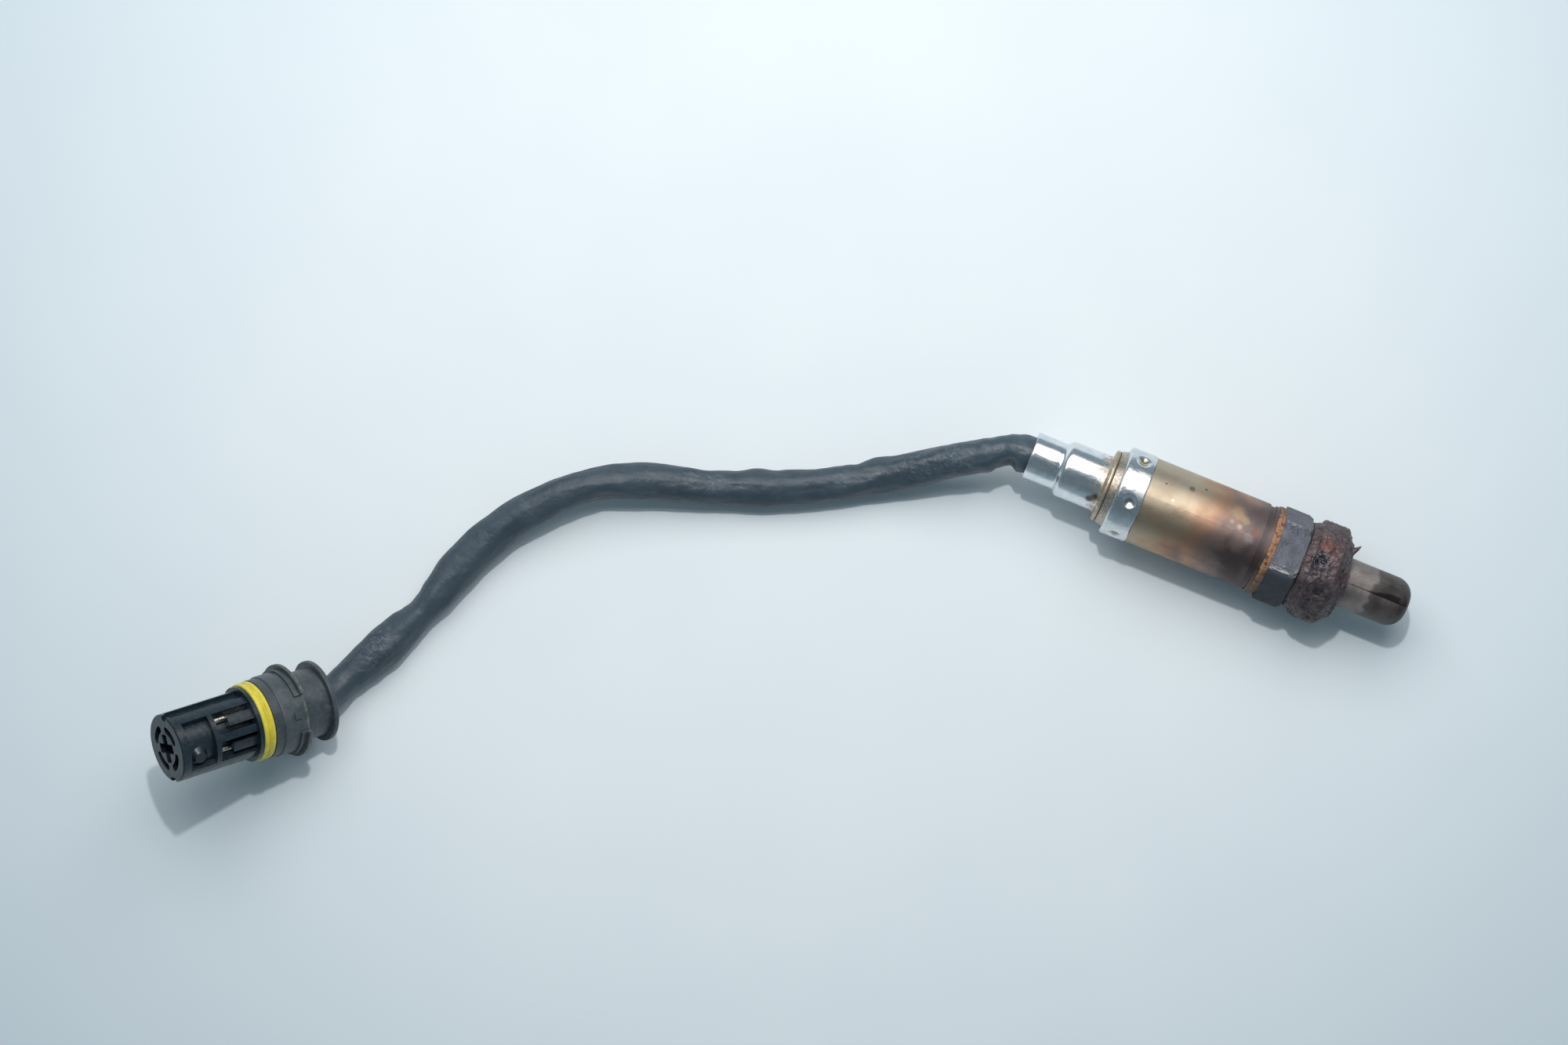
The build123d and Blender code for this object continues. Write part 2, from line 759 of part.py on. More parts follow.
ferrule_bore_r = heater_r + press_gap
with BuildPart() as inner_contact:
    with BuildSketch(side):
        band(element_rear - contact_sheet, element_rear + ferrule_length, ferrule_bore_r,
             ferrule_bore_r + contact_sheet)
        band(element_rear - contact_sheet, element_rear, ferrule_bore_r, ferrule_flange_r)
    revolve(axis=sensor_axis)
    tab_inner_r = ferrule_bore_r + contact_sheet
    with BuildSketch(cross_plane(tab_rear)):
        with PolarLocations((tab_inner_r + blade_inner_r - press_gap) / 2, 1, start_angle=lead_turn + 270):
            Rectangle(blade_inner_r - press_gap - tab_inner_r, blade_width)
    extrude(amount=contact_tab_length - contact_sheet)
finish(inner_contact, "inner_contact")

# Connector cap: the rear cover with its boot neck, flange and band, hollow for the wire seal,
# and a spigot that is pushed into the body.
upright = radial_plane(rib_angle)
with BuildPart() as connector_cap:
    with BuildSketch(upright):
        outline((0, -boot_length), (boot_r, -boot_length), (boot_root_r, 0), (0, 0))
        upright_band(0, cap_flange_length, 0, cap_flange_r)
        upright_band(cap_flange_length, cap_front, 0, cap_r)
        upright_band(cap_front, cap_front + spigot_depth, 0, spigot_r)
    revolve(axis=connector_axis)
    with BuildSketch(upright):
        upright_band(-boot_length, cap_floor, 0, cap_bore_r)
        upright_band(cap_floor, cap_front + spigot_depth, 0, cap_hollow_r)
    revolve(axis=connector_axis, mode=Mode.SUBTRACT)
    flange_edges = connector_cap.edges().filter_by(GeomType.CIRCLE).sort_by(SortBy.RADIUS)[-2:]
    fillet(flange_edges, cap_flange_length / 4)
finish(connector_cap, "connector_cap")

# Wire seal: a rubber plug in the cap, with a bore for each lead.
with BuildPart() as wire_seal:
    with BuildSketch(connector.offset(cap_floor)):
        Circle(cap_hollow_r - slip_gap)
        with PolarLocations(inner_lead_circle_r, 4, start_angle=rib_angle + 45):
            Circle(lead_r + slip_gap, mode=Mode.SUBTRACT)
    extrude(amount=wire_seal_length)
finish(wire_seal, "wire_seal")

# Connector body: a ring with a bore for the spigot and the carrier's stub. Its flange is in two
# segments, each a channel that is closed at its ends, with a small square boss in each gap.
segment = 180 - flange_gap
channel_front = cap_front + body_flange_length + channel_length
lip_end = channel_front + channel_lip_length
with BuildPart() as connector_body:
    with BuildSketch(connector.offset(cap_front)):
        Circle(body_r)
        Circle(socket_r, mode=Mode.SUBTRACT)
    extrude(amount=body_length)
    front_rim = connector_body.edges().filter_by(GeomType.CIRCLE).sort_by(SortBy.RADIUS)[-2:]
    fillet(front_rim.sort_by(connector_axis)[-1], body_edge)
    for middle in (rib_angle + 90, rib_angle - 90):
        with BuildSketch(connector.offset(cap_front)) as rim:
            sector((socket_r + body_r) / 2, body_flange_r, middle, segment)
        extrude(rim.sketch, amount=body_flange_length)
        with BuildSketch(connector.offset(cap_front)) as lip:
            sector((socket_r + body_r) / 2, channel_lip_r, middle, segment)
        extrude(lip.sketch, amount=lip_end - cap_front)
        with BuildSketch(connector.offset(cap_front + body_flange_length)) as channel:
            sector(
                body_flange_r - channel_depth,
                body_flange_r + channel_depth,
                middle,
                segment - 2 * channel_end,
            )
        extrude(channel.sketch, amount=channel_length, mode=Mode.SUBTRACT)
    with BuildSketch(connector.offset(cap_front + body_boss_offset)) as bosses:
        with PolarLocations(body_r, 2, start_angle=rib_angle):
            Rectangle(2 * body_boss_height, body_boss_width)
    extrude(bosses.sketch, amount=body_boss_width)
finish(connector_body, "connector_body")

# Spacer ring and the double-lip seal, both on the carrier's stub.
with BuildPart() as spacer_ring:
    with BuildSketch(connector.offset(body_front)):
        Circle(spacer_r)
        Circle(spigot_r + slip_gap, mode=Mode.SUBTRACT)
    extrude(amount=spacer_length)
finish(spacer_ring, "spacer_ring")

with BuildPart() as connector_seal:
    with BuildSketch(upright) as half:
        upright_band(spacer_front, seal_front, spigot_r + slip_gap, seal_r)
        fillet(half.vertices().group_by(Axis.X)[-1], seal_lip / 2)
    revolve(axis=connector_axis)
    with BuildSketch(upright):
        outline(
            (seal_r - seal_groove_depth, (spacer_front + seal_front) / 2),
            (seal_r + press_gap, spacer_front + seal_lip),
            (seal_r + press_gap, seal_front - seal_lip),
        )
    revolve(axis=connector_axis, mode=Mode.SUBTRACT)
finish(connector_seal, "connector_seal")

# Contact carrier: the moulded front housing and its stub, with a pocket for each terminal,
# windows in its sides, latch fingers in the rear windows, two keyways, and the contact face.
window_middle_offset = (window_side + rib_width_angle) / 4
window_spread = (window_side - rib_width_angle) / 2
front_window_start = nose - front_land - front_window_length
rear_window_length = front_window_start - window_rib - collar_front
window_floor_r = carrier_r - front_window_depth
button_root_r = math.sqrt(window_floor_r**2 - button_r**2) - slip_gap
with BuildPart() as contact_carrier:
    with BuildSketch(upright) as half:
        upright_band(collar_front, nose, 0, carrier_r)
        chamfer(half.vertices().group_by(Axis.Y)[-1].sort_by(Axis.X)[-1], carrier_edge)
        upright_band(seal_front, collar_front, 0, carrier_collar_r)
        upright_band(stub_rear, seal_front, 0, spigot_r)
    revolve(axis=connector_axis)
    for back in (0, 180):
        with BuildSketch(connector.offset(front_window_start)) as front_window:
            sector(window_floor_r, body_r, rib_angle + back, window_side)
        extrude(front_window.sketch, amount=front_window_length, mode=Mode.SUBTRACT)
        for way in (-1, 1):
            middle = rib_angle + back + way * window_middle_offset
            with BuildSketch(connector.offset(collar_front)) as rear_window:
                sector(carrier_r - rear_window_depth, body_r, middle, window_spread)
            extrude(rear_window.sketch, amount=rear_window_length, mode=Mode.SUBTRACT)
            with BuildSketch(connector.offset(collar_front)) as latch:
                sector(
                    carrier_r - rear_window_depth - press_gap,
                    carrier_r - latch_top_gap,
                    middle,
                    latch_angle,
                )
            extrude(latch.sketch, amount=latch_length)
    button_plane = facing_plane(rib_angle - window_middle_offset, nose - front_land - button_offset)
    with BuildSketch(button_plane.offset(button_root_r)) as button:
        Circle(button_r)
    extrude(button.sketch, amount=window_floor_r + button_height - button_root_r, taper=button_taper)
    for offset, width, start in (
        (key_offset, key_width, key_wall),
        (second_key_offset, second_key_width, 0),
    ):
        for cut_width, cut_end in ((width, nose - start), (key_notch_width, nose)):
            with BuildSketch(connector.offset(collar_front)) as keyway:
                with PolarLocations(carrier_r, 1, start_angle=rib_angle + offset):
                    Rectangle(2 * key_depth, cut_width)
            extrude(keyway.sketch, amount=cut_end - collar_front, mode=Mode.SUBTRACT)
    with BuildSketch(connector.offset(stub_rear)) as pockets:
        with PolarLocations(terminal_circle_r, 4, start_angle=rib_angle + 45):
            Rectangle(pocket_size, pocket_size)
    extrude(pockets.sketch, amount=nose - slot_depth - stub_rear, mode=Mode.SUBTRACT)
    with BuildSketch(connector.offset(nose - slot_depth)) as slots:
        for quarter in range(4):
            middle = rib_angle + 45 + 90 * quarter
            slot_inner_r = terminal_circle_r - slot_width / 2
            sector(slot_inner_r, slot_inner_r + slot_width, middle, slot_span)
            slot_start = middle - slot_span / 2
            with PolarLocations(terminal_circle_r, 2, slot_start, slot_span, endpoint=True):
                Circle(slot_width / 2)
    extrude(slots.sketch, amount=slot_depth, mode=Mode.SUBTRACT)
    with BuildSketch(connector.offset(nose - cross_depth)) as cross:
        for quarter in range(2):
            Rectangle(2 * cross_reach, cross_width, rotation=rib_angle + 90 * quarter)
    extrude(cross.sketch, amount=cross_depth, mode=Mode.SUBTRACT)
finish(contact_carrier, "contact_carrier")

# Terminals and the leads behind them. A lead comes out of the harness near the axis, passes the
# wire seal and bends out to its terminal's crimp barrel.
terminal_front = nose - slot_depth - terminal_front_gap
box_start = terminal_barrel_start + terminal_barrel_length
socket_start = box_start + terminal_box_length
bend_start = cap_floor + wire_seal_length
for number in range(4):
    angle = rib_angle + 45 + 90 * number
    with BuildPart() as terminal:
        with BuildSketch(connector.offset(terminal_barrel_start)):
            with PolarLocations(terminal_circle_r, 1, start_angle=angle):
                Circle(barrel_r - barrel_wall / 2)
                Circle(lead_r + press_gap, mode=Mode.SUBTRACT)
        extrude(amount=terminal_barrel_length)
        with BuildSketch(connector.offset(box_start)):
            with PolarLocations(terminal_circle_r, 1, start_angle=angle):
                Rectangle(terminal_box, terminal_box)
        extrude(amount=terminal_box_length)
        with BuildSketch(connector.offset(socket_start)):
            with PolarLocations(terminal_circle_r, 1, start_angle=angle):
                Circle(terminal_socket_r)
        extrude(amount=terminal_front - socket_start)
        with BuildSketch(connector.offset(socket_start)):
            with PolarLocations(terminal_circle_r, 1, start_angle=angle):
                Circle(terminal_socket_bore_r)
        extrude(amount=terminal_front - socket_start, mode=Mode.SUBTRACT)
    finish(terminal, f"terminal_{number + 1}")

    with BuildPart() as inner_lead:
        with BuildLine(radial_plane(angle)) as run:
            FilletPolyline(
                (inner_lead_circle_r, -boot_length),
                (inner_lead_circle_r, bend_start + lead_r),
                (terminal_circle_r, stub_rear - lead_r),
                (terminal_circle_r, box_start),
                radius=lead_bend_r,
            )
        with BuildSketch(connector.offset(-boot_length)):
            with PolarLocations(inner_lead_circle_r, 1, start_angle=angle):
                Circle(lead_r)
        sweep(path=run.wires()[0])
    finish(inner_lead, f"inner_lead_{number + 1}")

# Harness sleeve: the tube's route, from the grommet to the connector's boot. Its points are
# chosen by hand, and each corner's arc is as large as its two runs allow.
boot_end = connector.from_local_coords(Vector(0, 0, -boot_length))
last_run = connector.from_local_coords(Vector(0, 0, -boot_length - boot_run))
route = [
    (seat_x + grommet_rear, 0, axis_height),
    (-54.0, 0, axis_height),
    (-58.7, -1.5, 12.4),
    (-64.9, -5.6, 11.1),
    (-74.4, -12.0, 7.6),
    (-85.6, -19.2, 4.9),
    (-98.6, -26.9, 4.62),
    (-113.6, -33.9, 4.62),
    (-128.2, -39.0, 5.3),
    (-141.6, -43.7, 7.3),
    (-152.5, -49.9, 8.2),
    (-161.9, -58.1, 7.6),
    (-169.3, -68.2, 6.2),
    (-174.4, -80.1, 5.1),
    (-177.6, -92.2, 4.65),
    (-181.8, -101.8, 4.61),
    (-185.0, -108.4, 4.61),
    (-187.2, -113.6, 4.61),
    (-189.3, -118.3, 4.75),
    tuple(last_run),
    tuple(boot_end),
]
corner_radii = []
for before, corner, after in zip(route, route[1:], route[2:]):
    first, second = Vector(corner) - Vector(before), Vector(after) - Vector(corner)
    half_turn = math.radians(first.get_angle(second)) / 2
    corner_radii.append(arc_share * min(first.length, second.length) / math.tan(half_turn))

with BuildPart() as harness_sleeve:
    with BuildLine() as harness_line:
        FilletPolyline(*route, radius=corner_radii)
    with BuildSketch(Plane(origin=route[0], x_dir=(0, 1, 0), z_dir=(-1, 0, 0))):
        Circle(harness_r)
    sweep(path=harness_line.wires()[0])
finish(harness_sleeve, "harness_sleeve")

harness_length = harness_line.wires()[0].length
tube_volume = math.pi * harness_r**2 * harness_length
print("corner radii", [round(r, 1) for r in corner_radii])
print("runs", [round((Vector(b) - Vector(a)).length, 1) for a, b in zip(route, route[1:])])
print("harness length", round(harness_length, 2))
print("volume over section times length", round(harness_sleeve.part.volume / tube_volume, 5))
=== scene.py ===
import math

import bmesh
import bpy
from mathutils import Euler, Matrix, Vector, noise


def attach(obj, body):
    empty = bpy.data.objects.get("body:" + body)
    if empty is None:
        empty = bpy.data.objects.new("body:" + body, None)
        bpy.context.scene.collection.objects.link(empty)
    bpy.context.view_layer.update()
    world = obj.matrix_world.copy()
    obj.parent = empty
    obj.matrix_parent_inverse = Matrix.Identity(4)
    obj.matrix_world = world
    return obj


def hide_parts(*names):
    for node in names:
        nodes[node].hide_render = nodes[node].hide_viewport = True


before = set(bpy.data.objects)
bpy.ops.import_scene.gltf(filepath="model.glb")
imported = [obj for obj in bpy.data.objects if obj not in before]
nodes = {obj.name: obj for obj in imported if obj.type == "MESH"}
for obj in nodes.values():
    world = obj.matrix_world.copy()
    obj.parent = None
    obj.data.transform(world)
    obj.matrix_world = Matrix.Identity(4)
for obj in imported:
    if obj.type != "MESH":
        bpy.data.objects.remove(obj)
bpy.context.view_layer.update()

scene = bpy.context.scene
scene.view_settings.view_transform = "Standard"

# Housing: one forged and turned steel piece, with the 22 mm hexagon that the spanner turns and the
# threaded shank in front of it. It is uncoated, so exhaust heat has left it blue-grey and stained,
# and the spanner has rubbed its ridges bare.
SEAT = Vector((0.02125, 0.0, 0.0129))  # where the seat face meets the sensor's axis
UNTURNED = Euler((0.0, 0.0, 0.0))


def shade(red, green, blue):
    """A colour for a socket, from the usual 0 to 255 levels."""
    levels = [level / 255 for level in (red, green, blue)]
    return (*[v / 12.92 if v <= 0.04045 else ((v + 0.055) / 1.055) ** 2.4 for v in levels], 1.0)


class Finish:
    """A material whose patterns are laid out in mm from a point on the piece."""

    def __init__(self, name, centre=SEAT, turn=UNTURNED):
        self.material = bpy.data.materials.new(name)
        self.material.use_nodes = True
        self.tree = self.material.node_tree
        self.shader = self.tree.nodes["Principled BSDF"]
        place = self.add("TexCoord").outputs["Object"]
        start = -1000 * (turn.to_matrix() @ centre)
        laid = {"Vector": place, "Scale": (1000, 1000, 1000), "Rotation": turn, "Location": start}
        self.place = self.add("Mapping", laid).outputs["Vector"]
        self.x, self.y, self.z = self.add("SeparateXYZ", {"Vector": self.place}).outputs

    def add(self, kind, values=(), **settings):
        """A new shader node, with its sockets set or linked and its properties set."""
        node = self.tree.nodes.new("ShaderNode" + kind)
        for name, setting in settings.items():
            setattr(node, name, setting)
        for name, value in dict(values).items():
            if isinstance(value, bpy.types.NodeSocket):
                self.tree.links.new(value, node.inputs[name])
            else:
                node.inputs[name].default_value = value
        return node

    def calc(self, operation, *values):
        """A Math node's result."""
        return self.add("Math", dict(enumerate(values)), operation=operation).outputs["Value"]

    def times(self, value, share):
        """One value times another."""
        return self.calc("MULTIPLY", value, share)

    def turn_round_axis(self):
        """Degrees round the sensor's axis, 0 on top and positive towards the near side."""
        near = self.times(self.y, -1.0)
        return self.times(self.calc("ARCTAN2", near, self.z), 180 / math.pi)

    def stretched(self, x, y, z):
        """The places on the piece, scaled along each axis, for a pattern that runs one way."""
        return self.add("Mapping", {"Vector": self.place, "Scale": (x, y, z)}).outputs["Vector"]

    def noise(self, scale, detail=4.0, roughness=0.55, place=None):
        """Cloudy noise from 0 to 1. scale is its waves to a millimetre."""
        values = {"Vector": place or self.place, "Scale": scale, "Detail": detail}
        return self.add("TexNoise", {**values, "Roughness": roughness}).outputs["Fac"]

    def cells(self, scale):
        """How far each place is from its nearest scattered point."""
        values = {"Vector": self.place, "Scale": scale}
        return self.add("TexVoronoi", values).outputs["Distance"]

    def ease(self, value, start, end, low=0.0, high=1.0):
        """From low, where value is at start, smoothly to high, where it is at end."""
        values = {"Value": value, "From Min": start, "From Max": end, "To Min": low, "To Max": high}
        return self.add("MapRange", values, interpolation_type="SMOOTHSTEP").outputs["Result"]

    def band(self, value, start, end, soft):
        """1 between start and end, and 0 outside them."""
        rise = self.ease(value, start - soft, start + soft)
        return self.times(rise, self.ease(value, end - soft, end + soft, 1.0, 0.0))

    def spot(self, centre, reach, soft=0.5, waver=0.0, scale=1.0):
        """1 within reach mm of a point, and 0 beyond it, with a wavering edge."""
        away = self.add("VectorMath", {0: self.place, 1: centre}, operation="DISTANCE")
        distance = away.outputs["Value"]
        if waver:
            wave = self.times(self.calc("SUBTRACT", self.noise(scale), 0.5), 2 * waver)
            distance = self.calc("ADD", distance, wave)
        return self.ease(distance, reach * (1 - soft), reach * (1 + soft), 1.0, 0.0)

    def ramp(self, value, *stops):
        """The colours of the stops, which are positions and colours, along a value."""
        node = self.add("ValToRGB", {"Fac": value})
        points = node.color_ramp.elements
        while len(points) < len(stops):
            points.new(0.5)
        for point, (position, colour) in zip(points, stops):
            point.position = position
            point.color = colour
        return node.outputs["Color"]

    def mix(self, share, under, over):
        """One colour over another by a share from 0 to 1."""
        return self.add("Mix", {0: share, 6: under, 7: over}, data_type="RGBA").outputs[2]

    def stain(self, tone, mask, share, *levels):
        """A tone stained by share where mask is 1. levels are the stain's red, green and blue."""
        return self.mix(self.times(mask, share), tone, shade(*levels))

    def bump(self, height, depth, below=None):
        """Relief of depth mm where height goes from 0 to 1, on top of another relief."""
        values = {"Height": height, "Distance": depth / 1000}
        if below:
            values["Normal"] = below
        return self.add("Bump", values).outputs["Normal"]

    def done(self, colour, roughness, normal=None, metallic=0.0):
        """The finished material."""
        sockets = {"Base Color": colour, "Roughness": roughness, "Metallic": metallic}
        if normal:
            sockets["Normal"] = normal
        for name, value in sockets.items():
            if isinstance(value, bpy.types.NodeSocket):
                self.tree.links.new(value, self.shader.inputs[name])
            else:
                self.shader.inputs[name].default_value = value
        return self.material


def dress(material, *names):
    """Puts a material on these CAD nodes."""
    for name in names:
        mesh = nodes[name].data
        mesh.materials.clear()
        mesh.materials.append(material)


LOWER_RIDGE, UPPER_RIDGE = 24.0, -36.0  # the ridges that show, in degrees from the top
RIDGE_WIDTH = 7.0  # degrees
steel = Finish("heat_blued_forged_steel")
round_axis = steel.turn_round_axis()
cloudy = steel.noise(0.35, 5.0, 0.6)
fine = steel.noise(2.2, 4.0, 0.6)
tone = steel.ramp(
    cloudy, (0.3, shade(64, 66, 75)), (0.5, shade(88, 91, 101)), (0.7, shade(116, 118, 126))
)
brown = steel.times(steel.ease(steel.noise(0.6, 3.0), 0.54, 0.7), 0.5)
tone = steel.mix(brown, tone, shade(100, 88, 84))
ridge_wave = steel.calc("ADD", round_axis, steel.ease(steel.noise(1.2, 2.0), 0.0, 1.0, -5.0, 5.0))
lower_ridge = steel.band(
    ridge_wave, LOWER_RIDGE - RIDGE_WIDTH, LOWER_RIDGE + RIDGE_WIDTH / 2, 1.5
)
upper_ridge = steel.band(
    ridge_wave, UPPER_RIDGE - RIDGE_WIDTH / 4, UPPER_RIDGE + RIDGE_WIDTH / 4, 1.0
)
streaks = steel.noise(1.0, 3.0, 0.6, steel.stretched(0.3, 1.8, 1.8))
streaked = steel.ease(streaks, 0.44, 0.56)
rubbed = steel.times(streaked, steel.calc("MAXIMUM", lower_ridge, upper_ridge))
rubbed = steel.times(rubbed, steel.ease(steel.x, 0.0, 0.4, 1.0, 0.0))
NICK = (-1.4, 6.4, 9.6)  # mm from the seat face's middle, as every place on the sensor is
rubbed = steel.calc("MAXIMUM", rubbed, steel.spot(NICK, 0.5))
# Painted shade: the facets that turn towards the near side, away from the lamps, are darkened.
tone = steel.mix(steel.ease(round_axis, 22.0, 36.0, 0.0, 0.7), tone, shade(34, 38, 44))
tone = steel.stain(tone, rubbed, 0.9, 176, 172, 176)
relief = steel.bump(cloudy, 0.3)
relief = steel.bump(fine, 0.06, relief)
relief = steel.bump(steel.times(streaks, rubbed), 0.25, relief)
dull = steel.ease(cloudy, 0.3, 0.7, 0.42, 0.62)
dress(steel.done(tone, dull, relief, 0.4), "housing")

# Sealing gasket: sheet steel folded into a hollow ring, which the weld boss squeezes against the
# seat face. Hardly any of it shows, and what does is stained by the same rust.
sheet = Finish("stained_gasket_sheet")
tone = sheet.ramp(sheet.noise(0.8), (0.35, shade(60, 50, 48)), (0.65, shade(98, 78, 66)))
dress(sheet.done(tone, 0.6, sheet.bump(sheet.noise(2.0), 0.1), 0.4), "sealing_gasket")

# Protection tube: a drawn cap of heat-resistant steel round the element's tip, pressed inwards
# along three slits so that exhaust gas swirls in. Its front is scorched darker than its root.
tube = Finish("scorched_protection_tube")
round_axis = tube.turn_round_axis()
cloudy = tube.noise(0.25, 4.0, 0.5)
edge = tube.calc("ADD", tube.x, tube.ease(tube.noise(0.3, 3.0), 0.0, 1.0, -2.2, 2.2))
edge = tube.calc("ADD", edge, tube.times(tube.y, -0.12))
scorch = tube.ease(edge, 18.6, 20.4)
pale = tube.ramp(
    cloudy, (0.3, shade(114, 106, 103)), (0.55, shade(136, 127, 123)), (0.75, shade(154, 146, 142))
)
burnt = tube.ramp(cloudy, (0.3, shade(74, 67, 65)), (0.7, shade(102, 94, 92)))
tone = tube.mix(scorch, pale, burnt)
tip = tube.ease(tube.calc("ADD", edge, tube.times(tube.z, -0.2)), 25.5, 29.5)
tone = tube.mix(tip, tone, shade(48, 44, 45))
SLIT = 8.0  # the slit that shows, in degrees from up
wedge = tube.ease(tube.x, 18.5, 25.0, -2.5, -17.0)  # how far the shadow reaches, in degrees
# Painted shadow: the pressed panel is darkened where it dips in beside the slit.
painted_slit_shadow = tube.ease(tube.calc("SUBTRACT", tube.calc("SUBTRACT", round_axis, SLIT), wedge), -3.0, 3.0)
painted_slit_shadow = tube.times(painted_slit_shadow, tube.ease(round_axis, SLIT + 0.2, SLIT + 1.6, 1.0, 0.0))
painted_slit_shadow = tube.times(painted_slit_shadow, tube.ease(tube.x, 17.5, 20.5))
painted_slit_shadow = tube.times(painted_slit_shadow, tube.ease(tube.x, 26.5, 28.0, 1.0, 0.0))
tone = tube.stain(tone, painted_slit_shadow, 0.85, 22, 18, 18)
# Painted shade: a thin dark line along the slit's edge.
painted_slit_shade_line = tube.times(tube.band(round_axis, SLIT - 3.0, SLIT, 1.5), tube.ease(tube.x, 13.0, 14.0))
tone = tube.stain(tone, painted_slit_shade_line, 0.75, 34, 28, 27)
flecks = tube.ease(tube.cells(1.3), 0.16, 0.06)
flecks = tube.times(flecks, tube.ease(tube.noise(0.5), 0.5, 0.62))
tone = tube.stain(tone, flecks, 0.7, 70, 52, 46)
for centre, reach in (((13.1, 0.9, 6.3), 0.38), ((13.0, -2.0, 6.0), 0.34)):
    fleck = tube.times(tube.spot(centre, reach, 0.5, 0.3, 3.0), 0.8)
    tone = tube.mix(fleck, tone, shade(132, 78, 62))
relief = tube.bump(tube.noise(0.7, 4.0), 0.12)
dull = tube.ease(cloudy, 0.3, 0.7, 0.42, 0.55)
dress(tube.done(tone, dull, relief, 0.45), "protection_tube")

# Weld boss: the ring that was welded into the exhaust, cut out with the sensor seized in it. The
# torch left its front rim thin and burred, and years of heat and road salt have scaled it.
BOSS_OUTLINE = (  # station from the seat face and radius, in mm, round the wall's section
    (0.35, 8.75), (0.35, 11.1), (2.3, 11.5), (2.6, 12.3), (3.4, 12.75), (8.9, 12.85), (9.6, 12.4),
    (10.7, 10.9), (11.3, 10.0), (12.15, 9.6), (12.2, 9.2), (12.1, 8.75),
)
BOSS_LEAST = 8.7  # mm, the radius that rust never fills
BOSS_SKIN = 8.9  # mm, the radius beyond which rust changes the wall
BOSS_LEAN = 0.4  # mm that the front rim leans
BURR_STATION, BURR_ANGLE = 11.9, -48.0  # mm, and degrees from the top
BURR_WIDTH = 4.0  # degrees
TORCH_BITE, BITE_REACH = (3.6, 1.2, 12.6), 3.2
BOSS_DENTS = (  # a place, mm of height, below 0 where it is a dent, and mm of reach
    ((1.0, -5.3, 11.6), -0.6, 1.1), ((6.2, -6.0, 11.2), -0.5, 2.2),
    ((7.0, 4.5, 11.9), -0.4, 1.8), ((5.5, -4.0, 12.0), 0.35, 3.0),
    ((9.5, -7.0, 10.2), -0.3, 3.0),
)
FLOOR_GAP = 0.00002  # m of air that a mesh keeps under it


def round_place(station, radius, angle):
    """A place round the sensor's axis, in mm from the seat face's middle. 0 is on top."""
    return Vector((station, -radius * math.sin(angle), radius * math.cos(angle)))


def degrees_past(middle, angle):
    """How far an angle in radians is past a middle in degrees, from -180 to 180 degrees."""
    return (math.degrees(angle) - middle + 180) % 360 - 180


def held(value):
    """A value held between 0 and 1."""
    return max(0.0, min(1.0, value))


def rounded_walk(outline, step, rounds):
    """Points a step apart round a closed outline, its corners rounded off by their neighbours."""
    walk = []
    closed = (*outline, outline[0])
    for (x0, r0), (x1, r1) in zip(closed, closed[1:]):
        count = max(1, round(math.hypot(x1 - x0, r1 - r0) / step))
        for n in range(count):
            walk.append(Vector((x0 + (x1 - x0) * n / count, r0 + (r1 - r0) * n / count)))
    count = len(walk)
    for _ in range(rounds):
        walk = [(walk[n - 1] + 2 * walk[n] + walk[(n + 1) % count]) / 4 for n in range(count)]
    return walk


def turned(name, outline, shaped, step, sides, rounds=3):
    """A ring of metal round the sensor's axis, from the outline of its section.

    shaped gives a point's station and radius in mm, and its depth, from the outline's and its
    angle. The depth goes to an attribute, for the ring's material.
    """
    walk = rounded_walk(outline, step, rounds)
    count = len(walk)
    points, faces, depths = [], [], []
    for ring, (station, radius) in enumerate(walk):
        for side in range(sides):
            angle = 2 * math.pi * side / sides
            x, r, depth = shaped(station, radius, angle)
            place = SEAT + round_place(x, r, angle) / 1000
            place.z = max(place.z, FLOOR_GAP)
            points.append(place)
            depths.append(depth)
            a, b = ring * sides + side, ring * sides + (side + 1) % sides
            faces.append((a, b, (b + sides) % (count * sides), (a + sides) % (count * sides)))
    mesh = bpy.data.meshes.new(name)
    mesh.from_pydata(points, [], faces)
    mesh.attributes.new("depth", "FLOAT", "POINT").data.foreach_set("value", depths)
    for face in mesh.polygons:
        face.use_smooth = True
    piece = bpy.data.objects.new(name, mesh)
    scene.collection.objects.link(piece)
    return piece


def dent(place, centre, reach):
    """1 at a point, falling smoothly to 0 at reach mm."""
    share = min(1.0, (place - Vector(centre)).length / reach)
    return (1 - share * share) ** 2


